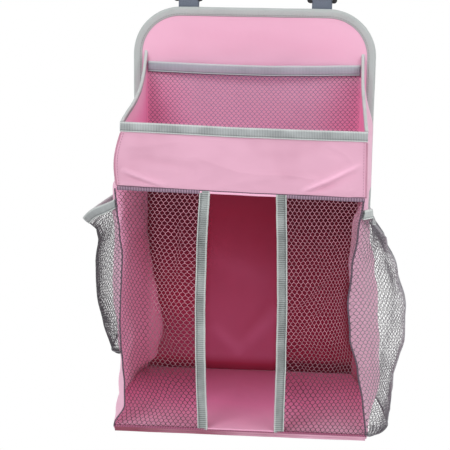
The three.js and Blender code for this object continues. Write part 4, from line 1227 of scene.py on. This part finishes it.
def front_surface(side):
    """The front net's surface, by millimetres across from the slot and up from the base, its width and height."""
    low, high = -BASE_DROP - 2.2, -TRAY_UNDER - 0.5
    width, height = SIDE_TRAY_HALF - SLOT_HALF, high - low
    sign = SIGN[side]

    def lay(x, y):
        free = smooth(x / 8) * smooth((width - x) / 8) * smooth(y / 8) * smooth((height - y) / 8)
        for crease in NET_CREASES[side]:
            drawn = drawn_in(x, y, crease)
            x, y = lerp(x, drawn[0], free), lerp(y, drawn[1], free)
        u, upward = x / width, hump(y / height)
        z = low + y + NET_CLIMB * upward * u**2 + 2.5 * ripple(x, y, 45, 63 + sign) * hump(u) * upward
        inner, outer = slot_edge(side, z), sign * (front_half(side, z) - 1.2)
        u += 0.10 * hump(u) * upward
        u += 0.045 * ripple(x, y, 36, 75 + sign) * hump(u) * upward ** 0.5
        z += 3.2 * ripple(x, y, 32, 78 + sign) * hump(u) * upward ** 0.5
        sag = 3.0 * ripple(x * 0.8 + y * 0.4, y * 0.5, 34, 61 + sign) * hump(u) ** 0.7 * upward ** 0.5
        return lerp(inner, outer, u), -depth_at(z) + NET_STAND + sag, z

    return lay, width, height


def make_front_nets():
    for side in ("left", "right"):
        lay, width, height = front_surface(side)

        def tone(point, side=side):
            """Painted light and shade on the thread: 0 where it is painted lit, and 1, painted dark, low down and
            beside the corner.
            """
            x, z = abs(point.x) / MM, (point.z - PANEL_TOP) / MM
            start_x, low = (96, 310) if side == "left" else (front_half(side, z) - 12, 345)
            return max(0.45 * smooth((-z - low) / 40), smooth((-z - 372) / 44), 0.95 * smooth((x - start_x) / 14))

        made = netting(f"{side}_front_netting", width, height, lay, "net", tone)
        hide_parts(f"{side}_front_net")


def make_slot_ribbons():
    rib = bpy.context.scene.caddy_sizes.rib_pitch / MM / 2
    low, high = -BASE_DROP - 1.5, -TRAY_UNDER + TRAY_EDGE - 1
    for side, sign in SIGN.items():
        frames = []
        for share in shares(round((high - low) / rib)):
            z = lerp(low - 0.5, high, share)
            wave = 0.5 * ripple(0, z, 36, 71 + sign) + 0.25 * ripple(0, z, 14, 74)
            lean = 0.10 * ripple(0, z, 50, 76 + sign)
            across = Vector((sign * lean, 1, 0)).normalized()
            up = Vector((-sign, lean, 0)).normalized()
            frames.append(((slot_edge(side, z) + wave, -depth_at(z) + NET_STAND + 0.4 * wave, z), across, up))
        ribbed(f"{side}_slot_ribbon", frames, 0.5 + FIT, BAND, "ribbon", f"{side}_slot_binding")
        path = []
        for share in shares(79):
            z = lerp(low + 2, high - 2, share)
            path.append((slot_edge(side, z) + sign * (BAND - 2.6), -depth_at(z) - 1.3, z))
        stitches(f"{side}_slot_stitches", path, AHEAD, "thread")


def make_front_seams():
    low, high = -BASE_DROP - 2, -TRAY_UNDER
    for side, sign in SIGN.items():
        wide = SEAM_WIDTH[side]
        section = [(0, -0.9), (wide * 0.5, -1.2), (wide, -0.7), (wide, 0.6), (0, 0.9)]
        frames = []
        for share in shares(160):
            z = lerp(low, high, share)
            wave = 0.4 * ripple(0, z, 22, 81 + sign)
            origin = (sign * (front_half(side, z) + 0.3 + wave), -depth_at(z), z)
            frames.append((origin, (-sign, 0, 0), BACK))
        made = sweep(f"{side}_corner_seam", section, frames, "tape")
        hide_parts(f"{side}_front_seam")
        # The net's top hem under the tray, and its bottom hem along the base, which is laid from its lower edge up
        for name, look, z, tall, inset, rise in (
            ("top", "hem", -TRAY_UNDER + TRAY_EDGE - 0.6, 4.4, BAND, 0.0),
            ("bottom", "lower hem", -BASE_DROP - 1.6, 1.9, 2, 1.9),
        ):
            begin = slot_edge(side, z) + sign * inset
            end = sign * (front_half(side, z) - 1.0)
            section = [(-1.5, 0), (0.9, 0), (1.0, -tall * 0.5), (0.8, -tall), (-1.1, -tall), (-1.7, -tall * 0.5)]
            frames = []
            for share in shares(60):
                x = lerp(begin, end, share)
                origin = (x, -depth_at(z) + 0.4, z + 0.4 * ripple(x, z, 16, 84) + rise)
                frames.append((origin, BACK, UP))
            sweep(f"{side}_net_{name}_hem", section, frames, look)


# Net pocket inside the tray
def inner_bow(x):
    """The place of the pocket's net in front of the panel."""
    return -INNER_STAND - INNER_BOW * hump((x / INNER_HALF + 1) / 2)


def make_inner_pocket():
    low, high = -TRAY_DROP + FIT, -INNER_DROP - BAND * 0.5

    def lay(x, y):
        sag = 1.2 * ripple(x, y, 38, 91) * hump(y / (high - low)) ** 0.5
        return x - INNER_HALF, inner_bow(x - INNER_HALF) + NET_STAND + sag, low + y

    # Painted shade: the thread darkens towards the pocket's ends.
    def tone(point):
        return 0.85 * smooth((abs(point.x) / MM - INNER_HALF + 62) / 60)

    made = netting(
        "inner_netting", 2 * INNER_HALF, high - low, lay, "inner net", tone, tight=1.06, heavy=0.8, flat=0.74)
    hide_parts("inner_pocket_net")
    frames = []
    for share in shares(130):
        x = lerp(-INNER_HALF, INNER_HALF, share)
        z = -INNER_DROP + 0.5 + 0.5 * ripple(x, 3, 40, 93) - INNER_SAG * hump(share)
        frames.append(((x, inner_bow(x) + NET_STAND, z), BACK, UP))
    ribbed("inner_band_ribbon", frames, 0.5, BAND + 1, "band", "inner_pocket_band")
    section = [(-1.5, -BAND - 0.4), (-0.9, -BAND - 1.5), (0.9, -BAND - 1.5), (1.2, -BAND - 0.4)]
    sweep("inner_band_seam", section, frames, "tape")


# Side pockets
def pocket_swell(pocket, s, v=1.0):
    """1 at a pocket's fold, falling to 0 at the panel, where s is 0, and at the front corner."""
    tip = pocket["tip"]
    away = abs(s - tip) / (tip if s < tip else 1 - tip)
    swell = clamp(1 - (math.hypot(away, TIP_ROUND) - TIP_ROUND) / (math.hypot(1, TIP_ROUND) - TIP_ROUND))
    power = SWELL_POWER if s < tip else FRONT_POWER
    return swell ** (power - pocket["front_full"] * (1 - smooth(v * 4)))


def pocket_point(side, s, v):
    """A point of a side pocket: s runs from the front corner to the panel, v from the bottom to the rim."""
    pocket = POCKETS[side]
    swell, full = pocket_swell(pocket, 1 - s), pocket_swell(pocket, 1 - s, v)
    t = lerp(POCKET_START, POCKET_END, s)
    low = -pocket["bottom_drop"] - pocket["bottom_sag"] * swell
    dip_from = pocket["dip_from"]
    dip = hump((s - dip_from) / (1 - dip_from)) ** 0.8 if dip_from else swell
    high = -lerp(pocket["rim_front"], pocket["rim_rear"], s) - pocket["rim_sag"] * dip
    z = lerp(low, high, v)
    gathers = math.sin(s * math.pi * 2 * pocket["folds"] + 1.3 * math.sin(v * 4))
    folds = pocket["gather"] * gathers * hump(v) ** 0.5 * hump(s) ** 0.5
    folds += pocket["uneven"] * ripple(s * 220, z, 34, 101 + SIGN[side]) * hump(s) * hump(v) ** 0.5
    lobe = pocket["lobe"] * math.exp(-(((s - LOBE_PLACE) / LOBE_WIDTH) ** 2)) * smooth((v - 0.8) * 6)
    gap = lerp(CORNER_GAP, POCKET_GAP, smooth(s * 8))
    stand = half_at(side, t, z, inside=False) + gap + along(pocket["out"], v, float) * full + folds + lobe
    return SIGN[side] * stand, -t * (depth_at(z) - CLOTH - FIT), z


def make_pockets():
    for side, pocket in POCKETS.items():
        height = pocket["bottom_drop"] - pocket["rim_front"]

        def lay(x, y, side=side, height=height):
            return pocket_point(side, x / POCKET_LENGTH, y / height)

        def tone(point, pocket=pocket):
            """1 along the pocket's fold, where the threads catch the light, and 0 away from it."""
            y, z = (point.y - PANEL_FRONT) / MM, (point.z - PANEL_TOP) / MM
            t = -y / (depth_at(z) - CLOTH - FIT)
            share = (t - POCKET_END) / (POCKET_START - POCKET_END)
            return smooth((pocket_swell(pocket, clamp(share)) - 0.8) * 6)

        def under(x, y, side=side):
            s, w = x / POCKET_LENGTH, y / POCKET_BOTTOM
            px, py, pz = pocket_point(side, s, 0)
            t = lerp(POCKET_START, POCKET_END, s)
            wall = SIGN[side] * (half_at(side, t, pz, inside=False) + CLOTH / 2)
            return lerp(wall, px, w), py, pz - 2.5 * hump(w)

        look, tight = f"{side} pocket net", pocket["tight"]
        netting(f"{side}_pocket_bottom_netting", POCKET_LENGTH, POCKET_BOTTOM, under, look, tight=tight)
        name = f"{side}_pocket_netting"
        made = netting(name, POCKET_LENGTH, height, lay, look, tone, tight=tight, heavy=pocket["heavy"])
        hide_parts(f"{side}_pocket_net")
        frames = []
        for s in shares(150):
            top = Vector(pocket_point(side, s, 1))
            up = (top - Vector(pocket_point(side, s, 1 - BAND / height))).normalized()
            before, after = (Vector(pocket_point(side, clamp(s + step), 1)) for step in (-0.01, 0.01))
            frames.append((top + up, up.cross(after - before).normalized(), up))
        lit_to = 0.2 if pocket["lobe"] else 0.0
        ribbed(f"{side}_pocket_ribbon", frames, 0.6, BAND - 1, "fine ribbon", f"{side}_pocket_rim", lit_to)
        section = [(-0.8, -1.0), (0.8, -1.0), (0.9, 0.4), (-0.9, 0.4)]
        frames = [(pocket_point(side, s, 0), (SIGN[side], 0, 0), UP) for s in shares(100)]
        sweep(f"{side}_pocket_hem", section, frames, "pocket hem")


# Webbing and buckles
def arc(y, z, radius, begin, end, steps):
    """Points of a (y, z) path round a middle, from one turn in degrees to another."""
    turns = [math.radians(lerp(begin, end, share)) for share in shares(steps)]
    return [(y + radius * math.cos(turn), z + radius * math.sin(turn)) for turn in turns]


def resample(path, step):
    """The same path with points a step apart."""
    out = [Vector(path[0])]
    for p, q in zip(path, path[1:]):
        p, q = Vector(p), Vector(q)
        count = max(1, round((q - p).length / step))
        out += [p.lerp(q, (i + 1) / count) for i in range(count)]
    return out


def webbing(name, path, x):
    """A flat strap along a path of (y, z) points, with thick edges and ribs across."""
    half = STRAP_WIDTH / 2
    edge = [(-half, 0.45), (-half + 0.7, 0.72), (-half + 1.8, 0.66)]
    upper = edge + [(lerp(-half + 3, half - 3, share), 0.62) for share in shares(6)]
    upper += [(-a, b) for a, b in edge[::-1]]
    points = resample(path, 1.1)
    frames = []
    for i, point in enumerate(points):
        run = (points[min(len(points) - 1, i + 1)] - points[max(0, i - 1)]).normalized()
        normal = Vector((0, run.y, -run.x)) * (1.06 if i % 2 else 0.94)
        frames.append(((x, point.x, point.y), RIGHT, normal))
    return sweep(name, upper + [(a, -b) for a, b in upper[::-1]], frames, "webbing", body=None)


def tab_path():
    """The socket's tab: up its front end, round the socket's bar and down its back end."""
    low = FOLD_RISE - FIT / 2 - ANCHOR_LENGTH
    turn = BUCKLE_RISE + BAR_HEIGHT
    return [(BUCKLE_MIDDLE - WRAP, low)] + arc(BUCKLE_MIDDLE, turn, WRAP, 180, 0, 10) + [(BUCKLE_MIDDLE + WRAP, low)]


def strap_paths():
    """The strap in two runs that meet behind the rail: from its sewn end, and round the rail to the plug."""
    back = RAIL_FRONT + RAIL_DEPTH + STRAP / 2
    front = RAIL_FRONT - STRAP / 2
    top = PANEL_UNDER_RAIL + STRAP / 2
    turn = PLUG_BAR - BAR_HEIGHT / 2
    meeting = (back, PANEL_UNDER_RAIL - RAIL_HEIGHT / 2)
    sewn = [
        (STRAP_REAR, FOLD_RISE - ANCHOR_LENGTH), (STRAP_REAR, FOLD_RISE + FIT / 2),
        (STRAP_REAR + STRAP, FOLD_RISE + 4), (back, PANEL_UNDER_RAIL - RAIL_HEIGHT - 2), meeting,
    ]
    path = [meeting]
    path += arc(back - STRAP_CORNER, top - STRAP_CORNER, STRAP_CORNER, 0, 90, 8)
    path += arc(front + STRAP_CORNER, top - STRAP_CORNER, STRAP_CORNER, 90, 180, 8)
    path += [(front, PLUG_BAR + TAIL_RISE)]
    path += arc(BUCKLE_MIDDLE, turn, WRAP, 0, -180, 10)
    return sewn, path + [(BUCKLE_MIDDLE - WRAP, PLUG_BAR + TAIL_RISE)]


def make_straps():
    sewn_path, loop_path = strap_paths()
    for side, sign in SIGN.items():
        x = sign * STRAP_HALF
        sewn = webbing(f"{side}_webbing_sewn_end", sewn_path, x)
        loop = webbing(f"{side}_webbing_loop", loop_path, x)
        tab = webbing(f"{side}_webbing_tab", tab_path(), x)
        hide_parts(f"{side}_strap")
        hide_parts(f"{side}_strap_end")
        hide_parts(f"{side}_buckle_tab", f"{side}_tab_front_end", f"{side}_tab_back_end")
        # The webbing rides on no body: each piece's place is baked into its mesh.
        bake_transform(loop)
        for made in (sewn, tab):
            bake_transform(made)


def softened(node, name, width):
    """A packed rigid piece with its edges rounded as a mould leaves them."""
    source = frame["nodes"][node]
    mesh = source.data.copy()
    mesh.name = name
    work = bmesh.new()
    work.from_mesh(mesh)
    bmesh.ops.remove_doubles(work, verts=work.verts, dist=0.00005)
    bmesh.ops.dissolve_limit(work, angle_limit=math.radians(2), verts=work.verts, edges=work.edges)
    bmesh.ops.recalc_face_normals(work, faces=work.faces)
    work.to_mesh(mesh)
    work.free()
    made = shown(name, mesh)
    bpy.ops.object.select_all(action="DESELECT")
    bpy.context.view_layer.objects.active = made
    made.select_set(True)
    bevel = made.modifiers.new("edges", "BEVEL")
    bevel.width = width
    bevel.segments = 2
    bevel.limit_method = "ANGLE"
    bevel.angle_limit = math.radians(35)
    bpy.ops.object.modifier_apply(modifier=bevel.name)
    bpy.ops.object.shade_smooth_by_angle(angle=math.radians(40))
    mesh.materials.clear()
    mesh.materials.append(finish("plastic"))
    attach(made, source["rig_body"])
    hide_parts(node)


def make_buckles():
    for side in ("left", "right"):
        softened(f"{side}_buckle_socket", f"{side}_socket", 0.0007)
        softened(f"{side}_buckle_plug", f"{side}_plug_head", 0.0006)
        for arm in ("outer_arm", "inner_arm"):
            softened(f"{side}_buckle_{arm}", f"{side}_{arm}", 0.0004)


def make_boards():
    tray_depth = depth_at(-TRAY_DROP) - CLOTH - FIT - 3

    def board(s, v):
        half = min(half_at(side, v, -TRAY_UNDER) for side in SIGN) - CLOTH - FIT - 2
        return (2 * s - 1) * half, lerp(-FIT - 1, -tray_depth, v), -TRAY_DROP - CLOTH - FIT - BOARD / 2

    made = sheet("tray_board", 12, 10, board, BOARD, (270, 205), "board")
    made.data.polygons.foreach_set("use_smooth", [False] * len(made.data.polygons))
    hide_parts("tray_floor_board")
    for node in ("back_panel_board", "base_board"):
        materials = frame["nodes"][node].data.materials
        materials.clear()
        materials.append(finish("board"))


# Stage
CAMERA_PLACE = (0.0983, -1.704, 0.0768)
CAMERA_YAW = -0.079
CAMERA_PITCH = 0.254
CAMERA_ROLL = 0.010
CAMERA_LENS = 107.44
FLOOR_DROP = -1.05
FLOOR_REACH = 7.0
LIT_PLACE = (0, -0.12, -0.35)
# Each light's name, place, size and power
LIGHTS = (
    ("key", (-2.2, -3.8, 2.9), 2.6, 92), ("fill", (3.0, -3.4, 0.9), 3.0, 52), ("top", (0.2, -0.3, 3.6), 2.6, 30),
)
WHITE = (1, 1, 1, 1)


def make_camera():
    level, drop = math.cos(CAMERA_PITCH), math.sin(CAMERA_PITCH)
    forward = Vector((math.sin(CAMERA_YAW) * level, math.cos(CAMERA_YAW) * level, -drop))
    right = Vector((math.cos(CAMERA_YAW), -math.sin(CAMERA_YAW), 0))
    turned = right * math.cos(CAMERA_ROLL) + right.cross(forward) * math.sin(CAMERA_ROLL)
    axes = Matrix((turned, turned.cross(forward), -forward)).transposed().to_4x4()
    camera = shown("camera", bpy.data.cameras.new("camera"))
    camera.data.lens = CAMERA_LENS
    camera.data.sensor_width = 36
    camera.data.clip_start = 0.05
    camera.data.clip_end = 40
    camera.matrix_world = Matrix.Translation(CAMERA_PLACE) @ axes
    bpy.context.scene.camera = camera
    bpy.context.scene.view_settings.view_transform = "Standard"


def make_floor():
    mesh = bpy.data.meshes.new("floor")
    corners = ((-1, -1), (1, -1), (1, 1), (-1, 1))
    mesh.from_pydata([(x * FLOOR_REACH, y * FLOOR_REACH, FLOOR_DROP) for x, y in corners], [], [(0, 1, 2, 3)])
    mesh.materials.append(pale_floor())
    floor = shown("floor", mesh)


def pale_floor():
    """Matt white studio floor: it shows white to the camera and keeps the object's shadow."""
    material, sockets = start("studio_floor_white", 0.9)
    sockets["Base Color"].default_value = linear("fafafa")
    nodes = material.node_tree.nodes
    ray = add(material, "ShaderNodeLightPath")
    seen = add(material, "ShaderNodeMath", {0: ray["Is Camera Ray"], 1: ray["Is Glossy Ray"]}, operation="MAXIMUM")
    place = add(material, "ShaderNodeTexCoord")["Object"]
    near = add(material, "ShaderNodeVectorMath", {0: place}, operation="LENGTH")["Value"]
    values = {"Value": near, "From Min": 1.08, "From Max": 1.24, "To Min": 0.55, "To Max": 1.0}
    away = add(material, "ShaderNodeMapRange", values)
    share = add(material, "ShaderNodeMath", {0: seen[0], 1: away[0]}, operation="MULTIPLY")
    glow = add(material, "ShaderNodeEmission", {"Color": WHITE, "Strength": 1.0})
    values = {0: share[0], 1: nodes["Principled BSDF"].outputs[0], 2: glow[0]}
    add(material, "ShaderNodeMixShader", values, nodes["Material Output"].inputs["Surface"])
    return material


def make_world():
    """A studio that is white to the camera and in reflections, and a softer light on everything else."""
    world = bpy.data.worlds.new("studio")
    world.use_nodes = True
    nodes = world.node_tree.nodes
    nodes.clear()
    bpy.context.scene.world = world
    light = add(world, "ShaderNodeBackground", {"Color": WHITE, "Strength": 0.55})
    white = add(world, "ShaderNodeBackground", {"Color": WHITE, "Strength": 1.0})
    ray = add(world, "ShaderNodeLightPath")
    seen = add(world, "ShaderNodeMath", {0: ray["Is Camera Ray"], 1: ray["Is Glossy Ray"]}, operation="MAXIMUM")
    surface = nodes.new("ShaderNodeOutputWorld").inputs["Surface"]
    add(world, "ShaderNodeMixShader", {0: seen[0], 1: light[0], 2: white[0]}, surface)


def make_lights():
    for name, place, size, power in LIGHTS:
        lamp = bpy.data.lights.new(name, "AREA")
        lamp.size = size
        lamp.energy = power
        made = shown(name, lamp)
        made.location = place
        made.rotation_euler = (Vector(LIT_PLACE) - Vector(place)).to_track_quat("-Z", "Y").to_euler()


class CADDY_OT_stage(bpy.types.Operator):
    """Sets the camera, the floor, the studio and the lights"""
    bl_idname = "caddy.stage"
    bl_label = "Stage"

    def execute(self, context):
        make_camera()
        make_floor()
        make_world()
        make_lights()
        return {"FINISHED"}


class CADDY_OT_panel(bpy.types.Operator):
    """Makes the back panel's cloths and shows its board"""
    bl_idname = "caddy.panel"
    bl_label = "Back panel"

    def execute(self, context):
        make_panel()
        make_boards()
        return {"FINISHED"}


class CADDY_OT_panel_binding(bpy.types.Operator):
    """Makes the binding round the panel and its stitches"""
    bl_idname = "caddy.panel_binding"
    bl_label = "Panel binding"

    def execute(self, context):
        make_panel_binding()
        return {"FINISHED"}


class CADDY_OT_sides(bpy.types.Operator):
    """Makes the two sides of the caddy"""
    bl_idname = "caddy.sides"
    bl_label = "Sides"

    def execute(self, context):
        make_sides()
        return {"FINISHED"}


class CADDY_OT_tray(bpy.types.Operator):
    """Makes the tray's front and the ribbons round its rim"""
    bl_idname = "caddy.tray"
    bl_label = "Tray"

    def execute(self, context):
        make_tray_front()
        make_tray_bindings()
        return {"FINISHED"}


class CADDY_OT_floors(bpy.types.Operator):
    """Makes the cloths of the tray's floor and the base"""
    bl_idname = "caddy.floors"
    bl_label = "Floors"

    def execute(self, context):
        make_floors()
        make_base_edge()
        return {"FINISHED"}


class CADDY_OT_inner_pocket(bpy.types.Operator):
    """Makes the net pocket inside the tray"""
    bl_idname = "caddy.inner_pocket"
    bl_label = "Inner pocket"

    def execute(self, context):
        make_inner_pocket()
        return {"FINISHED"}


class CADDY_OT_front(bpy.types.Operator):
    """Makes the front nets, their ribbons and seams"""
    bl_idname = "caddy.front"
    bl_label = "Front nets"

    def execute(self, context):
        make_front_nets()
        make_slot_ribbons()
        make_front_seams()
        return {"FINISHED"}


class CADDY_OT_pockets(bpy.types.Operator):
    """Makes the two side pockets of net"""
    bl_idname = "caddy.pockets"
    bl_label = "Side pockets"

    def execute(self, context):
        make_pockets()
        return {"FINISHED"}


class CADDY_OT_straps(bpy.types.Operator):
    """Makes the webbing loops and tabs"""
    bl_idname = "caddy.straps"
    bl_label = "Straps"

    def execute(self, context):
        make_straps()
        return {"FINISHED"}


class CADDY_OT_buckles(bpy.types.Operator):
    """Makes the side-release buckles"""
    bl_idname = "caddy.buckles"
    bl_label = "Buckles"

    def execute(self, context):
        make_buckles()
        return {"FINISHED"}


class CADDY_PT_panel(bpy.types.Panel):
    """Lists the caddy's settings and pieces"""
    bl_idname = "CADDY_PT_panel"
    bl_label = "Caddy"
    bl_space_type = "VIEW_3D"
    bl_region_type = "UI"
    bl_category = "Caddy"

    def draw(self, context):
        for group in (context.scene.caddy_sizes, context.scene.caddy_colours):
            for name in group.bl_rna.properties.keys():
                if name not in ("rna_type", "name"):
                    self.layout.prop(group, name)
        for made in OPERATORS:
            self.layout.operator(made.bl_idname)


OPERATORS = [
    CADDY_OT_stage, CADDY_OT_panel, CADDY_OT_panel_binding, CADDY_OT_sides, CADDY_OT_tray, CADDY_OT_floors,
    CADDY_OT_inner_pocket, CADDY_OT_front, CADDY_OT_pockets, CADDY_OT_straps, CADDY_OT_buckles,
]
CLASSES = [CaddySizes, CaddyColours, *OPERATORS, CADDY_PT_panel]


def register():
    for made in CLASSES:
        bpy.utils.register_class(made)
    bpy.types.Scene.caddy_sizes = bpy.props.PointerProperty(type=CaddySizes)
    bpy.types.Scene.caddy_colours = bpy.props.PointerProperty(type=CaddyColours)


def unregister():
    del bpy.types.Scene.caddy_colours
    del bpy.types.Scene.caddy_sizes
    for made in reversed(CLASSES):
        bpy.utils.unregister_class(made)


def main():
    register()
    bpy.ops.caddy.stage()
    bpy.ops.caddy.panel()
    bpy.ops.caddy.panel_binding()
    bpy.ops.caddy.sides()
    bpy.ops.caddy.tray()
    bpy.ops.caddy.floors()
    bpy.ops.caddy.inner_pocket()
    bpy.ops.caddy.front()
    bpy.ops.caddy.pockets()
    bpy.ops.caddy.straps()
    bpy.ops.caddy.buckles()


if __name__ == "__main__":
    main()
